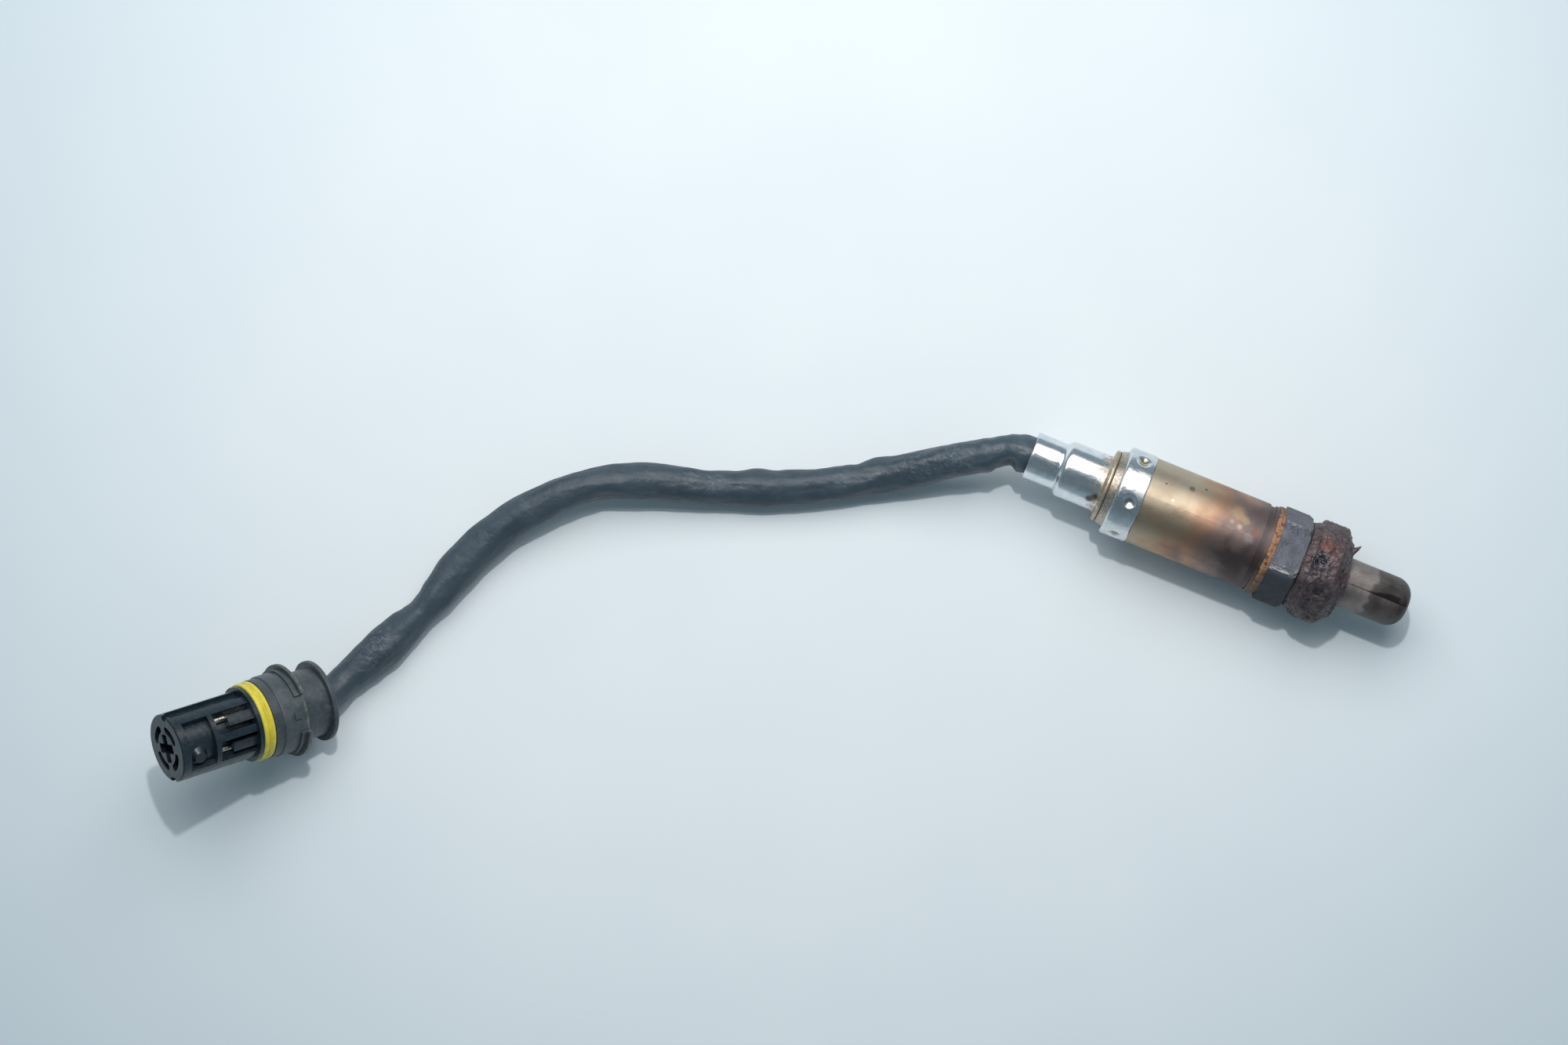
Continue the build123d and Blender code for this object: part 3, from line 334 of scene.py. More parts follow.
def eaten_boss(station, radius, angle):
    """Where a point of the boss goes as rust swells, pits and flakes it, and how deep it is."""
    place = round_place(station, radius, angle)
    lumps = noise.fractal(place * 0.28, 1.0, 2.0, 3)
    flaked = noise.fractal(place * 0.55 + Vector((2, 8, 5)), 0.8, 2.2, 3)
    crust = noise.fractal(place * 1.1 + Vector((7, 3, 1)), 0.9, 2.1, 3)
    pits = max(0.0, 0.5 - noise.voronoi(place * 0.6)[0][0]) * 2.0
    worn = min(1.0, max(0.1, noise.noise(place * 0.3 + Vector((4, 4, 4))) + 0.6))
    change = 0.26 * lumps + 0.42 * (abs(flaked) - 0.3) + 0.05 * crust - 0.5 * pits * worn
    torn = 0.35 + 0.9 * abs(noise.noise(place * 1.4)) + 0.5 * pits
    change -= dent(place, TORCH_BITE, BITE_REACH) * torn
    for centre, height, reach in BOSS_DENTS:
        change += height * dent(place, centre, reach)
    outside = held((radius - BOSS_SKIN) / 0.5)
    change *= outside
    front = held((station - 8.0) / 4.0)
    burr = math.exp(-((degrees_past(BURR_ANGLE, angle) / BURR_WIDTH) ** 2))
    burr = burr * max(0.0, 1 - abs(station - BURR_STATION) / 0.8) * outside
    lean = front * (BOSS_LEAN * math.sin(angle) + 0.25 * lumps * outside)
    swollen = max(BOSS_LEAST, radius + min(change, 0.3) + 2.4 * burr)
    return station + lean + 1.3 * burr, swollen, change


boss = turned("boss_scale", BOSS_OUTLINE, eaten_boss, step=0.17, sides=420)
rust = Finish("scaled_exhaust_rust")
depth = rust.add("Attribute", attribute_name="depth").outputs["Fac"]
cloudy = rust.noise(0.3, 5.0, 0.62)
grain = rust.noise(2.6, 5.0, 0.65)
tone = rust.ramp(
    cloudy, (0.28, shade(44, 39, 45)), (0.45, shade(70, 59, 62)), (0.6, shade(92, 79, 82)),
    (0.8, shade(124, 114, 116)),
)
red = rust.ease(rust.noise(0.55, 4.0, 0.6, rust.stretched(1.0, 1.0, 1.4)), 0.52, 0.66)
tone = rust.stain(tone, red, 0.42, 112, 66, 56)
tone = rust.mix(rust.ease(grain, 0.5, 0.75, 0.0, 0.34), tone, shade(142, 130, 128))
tone = rust.mix(rust.ease(depth, -0.1, -0.45, 0.0, 0.85), tone, shade(38, 30, 32))
orange = rust.times(rust.spot((4.4, 5.2, 11.7), 1.9, 0.7, 3.2, 0.8), rust.ease(grain, 0.3, 0.55))
tone = rust.stain(tone, orange, 0.72, 140, 84, 66)
blued = rust.spot((3.7, 1.0, 12.6), 2.1, 0.5, 1.2, 0.9)
tone = rust.stain(tone, blued, 0.8, 52, 50, 60)
# Painted shade: the boss is darker on its near side, which is turned away from the lamps.
under = rust.ease(rust.y, -3.0, -9.0)
tone = rust.stain(tone, under, 0.45, 44, 38, 43)
relief = rust.bump(grain, 0.07)
dull = rust.ease(rust.noise(0.9, 3.0), 0.35, 0.7, 0.34, 0.62)
dull = rust.times(dull, rust.ease(depth, -0.15, -0.5, 1.0, 0.62))
dull = rust.times(dull, rust.ease(blued, 0.0, 1.0, 1.0, 0.45))
boss.data.materials.append(rust.done(tone, dull, relief, 0.15))
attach(boss, "root")
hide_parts("weld_boss")

# Rust flakes: loose plates and crumbs of scale that cling to the weld boss where it is eaten
# most. They are iron oxide that has split off in layers, and only more rust holds them.
FLAKE_SIZE = 0.55  # mm across
FLAKE_DENSITY = 7e5  # to a square metre
FLAKE_TILT, FLAKE_TURN = 0.5, 6.283  # the most that a flake leans and turns, in radians


def scatter_tree(name, crumb, material):
    """Geometry Nodes that scatter copies of a crumb over a surface."""
    tree = bpy.data.node_groups.new(name, "GeometryNodeTree")
    ask = tree.interface.new_socket
    ask("Surface", in_out="INPUT", socket_type="NodeSocketGeometry")
    sizes = {}
    kinds = {"Density": "Float", "Smallest": "Float", "Largest": "Float", "Seed": "Int"}
    for label, kind in kinds.items():
        sizes[label] = ask(label, in_out="INPUT", socket_type="NodeSocket" + kind).identifier
    ask("Crumbs", in_out="OUTPUT", socket_type="NodeSocketGeometry")

    def add(kind, **links):
        """A new node, with its inputs set or linked."""
        node = tree.nodes.new(kind)
        for label, value in links.items():
            socket = node.inputs[label.replace("_", " ")]
            if isinstance(value, bpy.types.NodeSocket):
                tree.links.new(value, socket)
            else:
                socket.default_value = value
        return node

    given = tree.nodes.new("NodeGroupInput").outputs
    spread = add(
        "GeometryNodeDistributePointsOnFaces",
        Mesh=given["Surface"], Density=given["Density"], Seed=given["Seed"],
    )
    shape = add("GeometryNodeObjectInfo", Object=crumb)
    size = add("FunctionNodeRandomValue", Seed=given["Seed"])
    tree.links.new(given["Smallest"], size.inputs[2])
    tree.links.new(given["Largest"], size.inputs[3])
    spin = add("FunctionNodeRandomValue", Seed=given["Seed"])
    spin.data_type = "FLOAT_VECTOR"
    spin.inputs[0].default_value = (-FLAKE_TILT, -FLAKE_TILT, 0.0)
    spin.inputs[1].default_value = (FLAKE_TILT, FLAKE_TILT, FLAKE_TURN)
    leant = tree.nodes.new("FunctionNodeRotateRotation")
    leant.rotation_space = "LOCAL"
    tree.links.new(spread.outputs["Rotation"], leant.inputs[0])
    tree.links.new(spin.outputs[0], leant.inputs[1])
    placed = add(
        "GeometryNodeInstanceOnPoints",
        Points=spread.outputs["Points"], Instance=shape.outputs["Geometry"],
        Rotation=leant.outputs[0], Scale=size.outputs[1],
    )
    solid = add("GeometryNodeRealizeInstances", Geometry=placed.outputs["Instances"])
    coated = add("GeometryNodeSetMaterial", Geometry=solid.outputs["Geometry"], Material=material)
    tree.links.new(coated.outputs["Geometry"], tree.nodes.new("NodeGroupOutput").inputs["Crumbs"])
    return tree, sizes


def scattered(name, surface, tree, sizes, **values):
    """The plain mesh that a scatter tree makes on a surface."""
    modifier = surface.modifiers.new("scatter", "NODES")
    modifier.node_group = tree
    for label, value in values.items():
        modifier[sizes[label.capitalize()]] = value
    seen = surface.evaluated_get(bpy.context.evaluated_depsgraph_get())
    mesh = bpy.data.meshes.new_from_object(seen)
    surface.modifiers.remove(modifier)
    mesh.name = name
    piece = bpy.data.objects.new(name, mesh)
    scene.collection.objects.link(piece)
    return piece


def is_flaked(place):
    """Whether flakes cling at a place: in patches, outside the bore and off the floor."""
    in_patch = noise.noise(place * 330) > 0.05
    return in_patch and place.z > 0.002 and (place - SEAT).yz.length > 0.0093


shape = bmesh.new()
bmesh.ops.create_icosphere(shape, subdivisions=1, radius=FLAKE_SIZE / 2000)
for vertex in shape.verts:
    vertex.co *= 0.8 + 0.5 * noise.noise(vertex.co * 3000)
    vertex.co.z *= 0.45
mesh = bpy.data.meshes.new("flake")
shape.to_mesh(mesh)
shape.free()
flake = bpy.data.objects.new("flake", mesh)
patch = bpy.data.meshes.new("flaked_patch")
points = [vertex.co for vertex in boss.data.vertices]
kept = [face.vertices[:] for face in boss.data.polygons if is_flaked(points[face.vertices[0]])]
patch.from_pydata(points, [], kept)
holder = bpy.data.objects.new("flaked_patch", patch)
scene.collection.objects.link(holder)
tree, sizes = scatter_tree("scatter_flakes", flake, rust.material)
flakes = scattered(
    "rust_flakes", holder, tree, sizes, density=FLAKE_DENSITY, smallest=0.4, largest=1.3, seed=7
)
bpy.data.objects.remove(holder)
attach(flakes, "root")

# Sensing element: a fired zirconia thimble, closed at its tip, with exhaust gas outside it and air
# inside. A ceramic heater rod stands in it, and fired ceramic also holds and insulates it.
zirconia = Finish("fired_zirconia")
tone = zirconia.ramp(zirconia.noise(0.4), (0.3, shade(232, 226, 210)), (0.7, shade(243, 240, 230)))
fired = zirconia.bump(zirconia.noise(4.0), 0.02)
dress(zirconia.done(tone, 0.5, fired), "sensing_element")
ceramic = Finish("fired_heater_ceramic")
tone = ceramic.ramp(ceramic.noise(0.5), (0.3, shade(222, 219, 212)), (0.7, shade(238, 236, 231)))
fired = ceramic.bump(ceramic.noise(5.0), 0.02)
dress(ceramic.done(tone, 0.55, fired), "heater_rod", "insulating_bush", "contact_holder")

# Packing: steatite powder pressed round the element, between steel rings and a ceramic bush. The
# rings, the disc spring and the contacts are stamped or rolled from clean stainless sheet.
powder = Finish("pressed_packing_powder")
packed = powder.noise(3.0, 6.0, 0.7)
tone = powder.ramp(packed, (0.3, shade(206, 202, 190)), (0.7, shade(228, 225, 214)))
dress(powder.done(tone, 0.9, powder.bump(powder.noise(6.0), 0.06)), "powder_packing")
clean = Finish("clean_stamped_steel")
tone = clean.ramp(clean.noise(0.6), (0.3, shade(188, 188, 188)), (0.7, shade(208, 208, 210)))
drawn = clean.noise(2.0, 3.0, 0.6, clean.stretched(0.2, 3.0, 3.0))
satin = clean.ease(drawn, 0.3, 0.7, 0.25, 0.4)
dress(
    clean.done(tone, satin, clean.bump(drawn, 0.02), 1.0),
    "seal_ring", "retaining_ring", "disc_spring", "contact_heater_a", "contact_signal",
    "contact_heater_b", "contact_ground", "outer_contact", "inner_contact",
)

# Lower sleeve: a drawn stainless tube welded to the housing. Exhaust heat has tinted it straw near
# its cool end, then copper, then purple-brown towards the hexagon, with dirt baked on in places.
tint = Finish("heat_tinted_sleeve")
round_axis = tint.turn_round_axis()
cloudy = tint.noise(0.13, 4.0, 0.5)
drift = tint.ease(cloudy, 0.2, 0.8, -5.0, 5.0)
lean = tint.ease(round_axis, -90.0, 60.0, -6.0, 3.5)
heat = tint.calc("ADD", tint.calc("ADD", tint.x, drift), lean)
heat = tint.ease(heat, -46.0, -8.0)
tone = tint.ramp(
    heat, (0.0, shade(182, 168, 150)), (0.2, shade(180, 162, 138)), (0.38, shade(180, 149, 123)),
    (0.54, shade(172, 134, 110)), (0.68, shade(146, 122, 112)), (0.84, shade(122, 108, 106)),
    (1.0, shade(104, 92, 92)),
)
cream = tint.spot((-31.0, 5.0, 9.8), 3.6, 0.7, 1.5, 0.35)
tone = tint.stain(tone, cream, 0.4, 206, 192, 168)
tone = tint.mix(tint.spot((-31.8, 5.9, 9.6), 0.75, 0.5), tone, shade(136, 120, 104))
smoke = tint.noise(0.22, 5.0, 0.6, tint.stretched(0.45, 1.0, 1.0))
smoke = tint.times(tint.ease(smoke, 0.5, 0.68), tint.ease(round_axis, -20.0, 30.0, 0.3, 0.75))
tone = tint.stain(tone, smoke, 0.45, 118, 100, 86)
# Painted reflection: a dark band a little below the top, towards the near side, stands for the dark
# room mirrored in the sleeve.
painted_dark_reflection = tint.band(tint.calc("ADD", round_axis, drift), 14.0, 40.0, 10.0)
tone = tint.stain(tone, painted_dark_reflection, 0.36, 92, 72, 58)
# Darker on the near side, from 10.8 to 19 mm behind the seat face.
near_side_darkening = tint.band(tint.calc("ADD", tint.x, drift), -19.0, -10.8, 2.5)
near_side_darkening = tint.times(near_side_darkening, tint.ease(round_axis, -10.0, 25.0))
tone = tint.stain(tone, near_side_darkening, 0.6, 66, 56, 60)
for centre, reach, colour, share in (
    ((-18.9, 4.6, 10.3), 1.8, (196, 164, 128), 0.6),
    ((-16.6, 3.4, 10.8), 1.0, (196, 170, 138), 0.45),
    ((-14.5, -0.6, 11.3), 1.3, (160, 146, 138), 0.55),
    ((-16.6, -2.8, 10.9), 2.0, (138, 120, 112), 0.5),
    ((-13.3, 1.6, 11.2), 1.1, (146, 98, 72), 0.5),
    ((-14.2, 7.0, 8.9), 1.1, (132, 88, 80), 0.35),
    ((-17.6, 1.4, 11.2), 0.6, (196, 178, 160), 0.5),
    ((-35.4, 1.2, 11.2), 0.25, (250, 244, 226), 0.9),
    ((-38.3, 4.6, 10.3), 0.25, (70, 56, 44), 0.9),
    ((-28.4, 7.2, 8.7), 0.3, (80, 62, 52), 0.9),
    ((-19.8, 1.9, 11.1), 0.5, (190, 170, 152), 0.45),
):
    patch = tint.spot(centre, reach, 0.6, reach * 0.55, 1.2 / max(reach, 0.6))
    tone = tint.stain(tone, patch, share, *colour)
groove = tint.band(tint.x, -11.3, -10.2, 0.4)
tone = tint.stain(tone, groove, 0.35, 70, 60, 58)
stained = tint.times(tint.ease(tint.x, -10.4, -8.8), tint.ease(tint.noise(0.9), 0.42, 0.6))
tone = tint.stain(tone, stained, 0.7, 140, 96, 68)
flecks = tint.ease(tint.cells(0.7), 0.1, 0.04)
tone = tint.stain(tone, flecks, 0.6, 74, 58, 46)
drawn = tint.noise(1.4, 4.0, 0.6, tint.stretched(0.15, 1.6, 1.6))
dull = tint.ease(heat, 0.2, 0.9, 0.42, 0.52)
dull = tint.calc("ADD", dull, tint.ease(cloudy, 0.35, 0.7, -0.03, 0.06))
relief = tint.bump(drawn, 0.01)
relief = tint.bump(tint.noise(0.25, 2.0), 0.06, relief)
dress(tint.done(tone, dull, relief, 0.78), "lower_sleeve")

# Weld line: the sleeve is laser-welded to the housing's collar. Its bead has rusted into a lumpy
# orange crust that stands a little proud of the sleeve.
BEAD_OUTLINE = (  # station and radius, in mm
    (-9.0, 10.95), (-9.0, 11.45), (-8.7, 11.62), (-8.2, 11.62), (-7.8, 11.46), (-7.1, 11.36),
    (-7.1, 10.95),
)
BEAD_ROOT, BEAD_CREST = 11.0, 11.4  # mm, the radii where its lumps begin and about where they end


def crusted(station, radius, angle):
    """Where a point of the bead goes as rust makes it lumpy, and how deep it is."""
    place = round_place(station, BEAD_CREST, angle)
    lump = noise.fractal(place * 0.9, 0.9, 2.0, 4)
    pit = max(0.0, 0.45 - noise.voronoi(place * 0.8)[0][0])
    change = 0.02 + 0.16 * lump - 0.3 * pit
    outside = held((radius - BEAD_ROOT) / 0.3)
    drift = 0.15 * noise.noise(place * 0.5 + Vector((9, 0, 0))) * outside
    return station + drift, radius + change * outside, change


crust = turned("weld_crust", BEAD_OUTLINE, crusted, step=0.12, sides=360, rounds=2)
bloom = Finish("orange_weld_rust")
depth = bloom.add("Attribute", attribute_name="depth").outputs["Fac"]
grain = bloom.noise(2.4, 4.0, 0.6)
round_axis = bloom.turn_round_axis()
tone = bloom.ramp(
    grain, (0.3, shade(144, 98, 72)), (0.5, shade(172, 124, 92)), (0.7, shade(192, 152, 120))
)
tone = bloom.mix(bloom.ease(depth, 0.02, -0.14, 0.0, 0.85), tone, shade(70, 56, 50))
off_top = bloom.calc("ABSOLUTE", bloom.calc("ADD", round_axis, 8.0))
shaded = bloom.ease(off_top, 22.0, 56.0, 0.0, 0.75)
tone = bloom.mix(shaded, tone, shade(104, 84, 70))
crust.data.materials.append(bloom.done(tone, 0.8, bloom.bump(grain, 0.12)))
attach(crust, "root")

# Crimp ring: a bright stainless band rolled over the clamp washer and punched with round dimples
# that lock it to the sleeve. Rust has started in the dimples.
bright = Finish("bright_crimp_ring")
tone = bright.ramp(bright.noise(0.4), (0.3, shade(204, 207, 210)), (0.7, shade(226, 229, 232)))
film = bright.times(bright.ease(bright.noise(0.5, 3.0), 0.5, 0.7), 0.3)
tone = bright.mix(film, tone, shade(190, 178, 160))
DIMPLE_STATION, DIMPLE_FLOOR = -45.3, 11.0  # mm along the axis, and the radius of its floor
DIMPLES = (  # degrees from the top, the rust's colour and its share
    (-44.0, (196, 170, 120), 0.8), (16.0, (120, 104, 96), 0.45), (76.0, (70, 64, 60), 0.7),
    (136.0, (150, 120, 90), 0.6), (196.0, (130, 110, 90), 0.6), (256.0, (160, 130, 90), 0.6),
)
for angle, colour, share in DIMPLES:
    centre = round_place(DIMPLE_STATION, DIMPLE_FLOOR, math.radians(angle))
    film = bright.spot(centre, 1.15, 0.5, 0.4, 1.5)
    tone = bright.stain(tone, film, share, *colour)
scuffs = bright.noise(1.5, 4.0, 0.65, bright.stretched(0.4, 2.0, 2.0))
dull = bright.ease(scuffs, 0.3, 0.75, 0.18, 0.32)
relief = bright.bump(scuffs, 0.01)
relief = bright.bump(bright.noise(0.3, 2.0), 0.08, relief)
RING_RADIUS = 11.6  # mm
RING_OUTLINE = (  # station and radius, in mm
    (-49.2, 10.2), (-49.2, 10.9), (-48.95, 11.4), (-48.4, RING_RADIUS), (-42.2, RING_RADIUS),
    (-42.2, 11.34), (-48.3, 11.1), (-48.7, 10.6), (-48.7, 10.2),
)
DIMPLE_DEPTH, DIMPLE_REACH = 0.85, 2.1  # mm


def dimpled(station, radius, angle):
    """Where a point of the ring goes as its dimples are punched, and how far it is pushed in."""
    push = 0.0
    for middle, _, _ in DIMPLES:
        round_ring = math.radians(degrees_past(middle, angle)) * RING_RADIUS
        share = min(1.0, math.hypot(station - DIMPLE_STATION, round_ring) / DIMPLE_REACH)
        push = max(push, (1 - share**2) ** 1.6)
    front = max(0.0, (station + 44.0) / 1.8)
    wave = noise.noise(Vector((2.2 * math.cos(angle), 2.2 * math.sin(angle), 3.0)))
    return station + 0.35 * wave * front, radius - DIMPLE_DEPTH * push + 0.04 * wave, push


ring = turned("rolled_crimp_ring", RING_OUTLINE, dimpled, step=0.16, sides=300, rounds=2)
ring.data.materials.append(bright.done(tone, dull, relief, 1.0))
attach(ring, "root")
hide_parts("crimp_ring")

# Clamp washer: a coned steel ring under the crimp, which holds the upper sleeve's flange. Its bare
# edge has rusted tan and orange.
coned = Finish("rust_filmed_washer")
grain = coned.noise(1.6, 4.0, 0.6)
tone = coned.ramp(
    grain, (0.3, shade(140, 131, 120)), (0.5, shade(172, 163, 150)), (0.7, shade(200, 192, 180))
)
blotch = coned.ease(coned.noise(0.5, 3.0), 0.55, 0.68, 0.0, 0.4)
tone = coned.mix(blotch, tone, shade(152, 114, 84))
dress(coned.done(tone, 0.34, coned.bump(grain, 0.03), 0.85), "clamp_washer")

# Upper sleeve: drawn bright stainless, stepped in towards the grommet and flanged where the crimp
# holds it. It stays cool, so it keeps its polish, apart from rust that has crept from the flange.
polished = Finish("polished_upper_sleeve")
cloudy = polished.noise(0.5, 3.0)
tone = polished.ramp(cloudy, (0.3, shade(214, 217, 220)), (0.7, shade(234, 236, 238)))
ragged = polished.ease(polished.noise(0.7, 4.0, 0.65), 0.2, 0.8, -3.2, 3.2)
creep = polished.ease(polished.calc("ADD", polished.x, ragged), -55.4, -51.6)
rusty = polished.ramp(
    polished.noise(1.8, 3.0), (0.35, shade(150, 120, 84)), (0.55, shade(190, 160, 110)),
    (0.7, shade(176, 110, 60)),
)
tone = polished.mix(polished.times(creep, 0.75), tone, rusty)
specks = polished.ease(polished.cells(1.6), 0.2, 0.08)
near = polished.ease(polished.x, -57.0, -52.5)
tone = polished.stain(tone, specks, near, 150, 96, 48)
for centre, reach in (
    ((-54.6, -5.5, 4.9), 0.9), ((-65.2, -4.4, 5.9), 0.35), ((-53.4, -4.6, 5.7), 0.8),
):
    mark = polished.spot(centre, reach, 0.6, reach * 0.6, 1.4)
    tone = polished.stain(tone, mark, 0.8, 74, 66, 54)
drawn = polished.noise(1.8, 3.0, 0.6, polished.stretched(0.2, 2.0, 2.0))
dull = polished.calc("ADD", polished.ease(drawn, 0.3, 0.7, 0.16, 0.27), polished.times(creep, 0.3))
relief = polished.bump(polished.noise(0.2, 2.0), 0.06)
CASING_OUTLINE = (  # station and radius, in mm
    (-72.3, 5.72), (-72.3, 6.22), (-71.6, 6.16), (-71.2, 6.1), (-64.9, 6.1), (-64.5, 5.93),
    (-64.2, 5.95), (-63.8, 6.5), (-63.3, 7.2), (-62.6, 7.35), (-52.5, 7.35), (-52.25, 7.6),
    (-52.3, 9.3), (-52.0, 9.5), (-51.3, 9.5), (-51.0, 9.3), (-51.0, 7.35), (-47.4, 7.35),
    (-47.4, 6.95), (-62.6, 6.95), (-63.7, 5.72),
)


def drawn_wall(station, radius, angle):
    """Where a point of the casing goes, with the slight unevenness of a deep-drawn wall."""
    uneven = noise.noise(Vector((station * 0.3, math.cos(angle), math.sin(angle))))
    return station, radius + 0.02 * uneven, 0.0


casing = turned("polished_casing", CASING_OUTLINE, drawn_wall, step=0.35, sides=200)
casing.data.materials.append(polished.done(tone, dull, relief, 1.0))
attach(casing, "root")
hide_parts("upper_sleeve")

# Grommet and leads: a rubber plug with four bores closes the upper sleeve, and four insulated
# wires run through it to crimped contacts.
plug = Finish("grommet_rubber")
tone = plug.ramp(plug.noise(0.8), (0.3, shade(72, 69, 68)), (0.7, shade(92, 88, 86)))
dress(plug.done(tone, 0.75, plug.bump(plug.noise(2.0), 0.05)), "grommet")
jacket = Finish("lead_jacket")
tone = jacket.ramp(jacket.noise(0.7), (0.3, shade(88, 88, 92)), (0.7, shade(104, 104, 108)))
leads = ["lead_heater_a", "lead_signal", "lead_heater_b", "lead_ground"]
dress(
    jacket.done(tone, 0.4, jacket.bump(jacket.noise(2.0), 0.02)),
    *leads, *(f"inner_lead_{number}" for number in range(1, 5)),
)

# Harness sleeve: a heat-shrink tube over four leads. It shrank unevenly, so it is lumpy, and it
# is pinched where the leads cross and wrinkled where it bends down out of the sensor.
REAR_FLANGE = Vector((SEAT.x - 0.2150, -0.1255, 0.008771))  # the middle of the cap's rear flange
NOSE_WAY = Vector((-0.610253, -0.582152, 0.5373))  # the way that the connector points
BOOT_END = REAR_FLANGE - 0.0012 * NOSE_WAY
HARNESS_RADIUS = 0.0046
ROUTE = (  # from the upper sleeve's end to the connector's boot
    (-0.04905, 0.0, SEAT.z),
    (-0.0540, 0.0, SEAT.z),
    (-0.0587, -0.0015, 0.0124),
    (-0.0649, -0.0056, 0.0111),
    (-0.0744, -0.0120, 0.0076),
    (-0.0856, -0.0192, 0.0049),
    (-0.0986, -0.0269, 0.00462),
    (-0.1136, -0.0339, 0.00462),
    (-0.1282, -0.0390, 0.0053),
    (-0.1416, -0.0437, 0.0073),
    (-0.1525, -0.0499, 0.0082),
    (-0.1619, -0.0581, 0.0076),
    (-0.1693, -0.0682, 0.0062),
    (-0.1744, -0.0801, 0.0051),
    (-0.1776, -0.0922, 0.00465),
    (-0.1818, -0.1018, 0.00461),
    (-0.1850, -0.1084, 0.00461),
    (-0.1872, -0.1136, 0.00461),
    (-0.1893, -0.1183, 0.00475),
    BOOT_END - 0.0034 * NOSE_WAY,
    BOOT_END,
)


def spline_line(points, steps=16):
    """The points of a NURBS line that has these control points."""
    curve = bpy.data.curves.new("harness_line", "CURVE")
    curve.dimensions = "3D"
    curve.resolution_u = steps
    spline = curve.splines.new("NURBS")
    spline.points.add(len(points) - 1)
    for control, place in zip(spline.points, points):
        control.co = (*place, 1.0)
    spline.order_u = 3
    spline.use_endpoint_u = True
    holder = bpy.data.objects.new("harness_line", curve)
    scene.collection.objects.link(holder)
    mesh = bpy.data.meshes.new_from_object(holder)
    line = [vertex.co.copy() for vertex in mesh.vertices]
    bpy.data.objects.remove(holder)
    bpy.data.meshes.remove(mesh)
    return line


def evenly(line, step):
    """The same line, with a point every step."""
    lengths = [0.0]
    for before, after in zip(line, line[1:]):
        lengths.append(lengths[-1] + (after - before).length)
    count = round(lengths[-1] / step)
    result = []
    at = 0
    for number in range(count + 1):
        wanted = lengths[-1] * number / count
        while at < len(lengths) - 2 and lengths[at + 1] < wanted:
            at += 1
        share = (wanted - lengths[at]) / (lengths[at + 1] - lengths[at])
        result.append(line[at].lerp(line[at + 1], share))
    return result


def tube_mesh(name, line, radius_at, sides):
    """A closed tube along a line. radius_at gives its radius at a length and an angle from up."""
    points, faces = [], []
    length = 0.0
    for number, place in enumerate(line):
        way = (line[min(number + 1, len(line) - 1)] - line[max(number - 1, 0)]).normalized()
        across = way.cross(Vector((0, 0, 1))).normalized()
        up = across.cross(way)
        if number:
            length += (place - line[number - 1]).length
        for side in range(sides):
            angle = 2 * math.pi * side / sides
            radius = radius_at(length, angle)
            points.append(place + radius * (math.cos(angle) * up + math.sin(angle) * across))
    for ring in range(len(line) - 1):
        for side in range(sides):
            a, b = ring * sides + side, ring * sides + (side + 1) % sides
            faces.append((a, b, b + sides, a + sides))
    faces.append(tuple(reversed(range(sides))))
    faces.append(tuple(range(len(points) - sides, len(points))))
    mesh = bpy.data.meshes.new(name)
    mesh.from_pydata(points, [], faces)
    for face in mesh.polygons:
        face.use_smooth = True
    piece = bpy.data.objects.new(name, mesh)
    scene.collection.objects.link(piece)
    return piece


SIDES = (  # mm from the sensor's end, and mm from the line to the sleeve's far and near sides
    (0.0, 4.6, 4.6), (3.5, 4.6, 4.9), (6.3, 3.8, 4.0), (8.4, 3.3, 4.2), (10.8, 3.3, 4.6),
    (13.6, 3.55, 5.2), (16.9, 3.7, 4.9), (21.0, 3.9, 4.8), (30.8, 4.0, 4.9), (36.0, 4.1, 5.0),
    (41.6, 4.4, 5.0), (47.4, 3.85, 4.9), (53.4, 3.95, 4.9), (59.7, 3.8, 4.9), (66.2, 4.15, 5.0),
    (72.7, 4.7, 5.1), (79.1, 4.0, 4.9), (85.3, 3.9, 4.8), (91.3, 4.4, 4.7), (97.1, 4.7, 4.5),
    (102.7, 4.8, 4.4), (108.0, 4.75, 4.1), (113.0, 4.6, 3.85), (118.0, 4.45, 3.9),
    (123.0, 4.4, 4.4), (130.0, 4.3, 4.8), (140.0, 4.4, 4.9), (148.2, 4.8, 5.0),
    (156.0, 5.0, 5.0), (163.4, 4.5, 4.6), (167.5, 3.75, 3.9), (170.5, 3.65, 3.6),
    (173.0, 4.1, 3.8), (176.4, 4.8, 4.3), (182.8, 5.15, 5.1), (187.8, 5.0, 4.7),
    (192.2, 4.9, 3.8), (196.3, 4.9, 3.2), (200.0, 4.8, 3.3), (204.3, 4.5, 4.2),
)
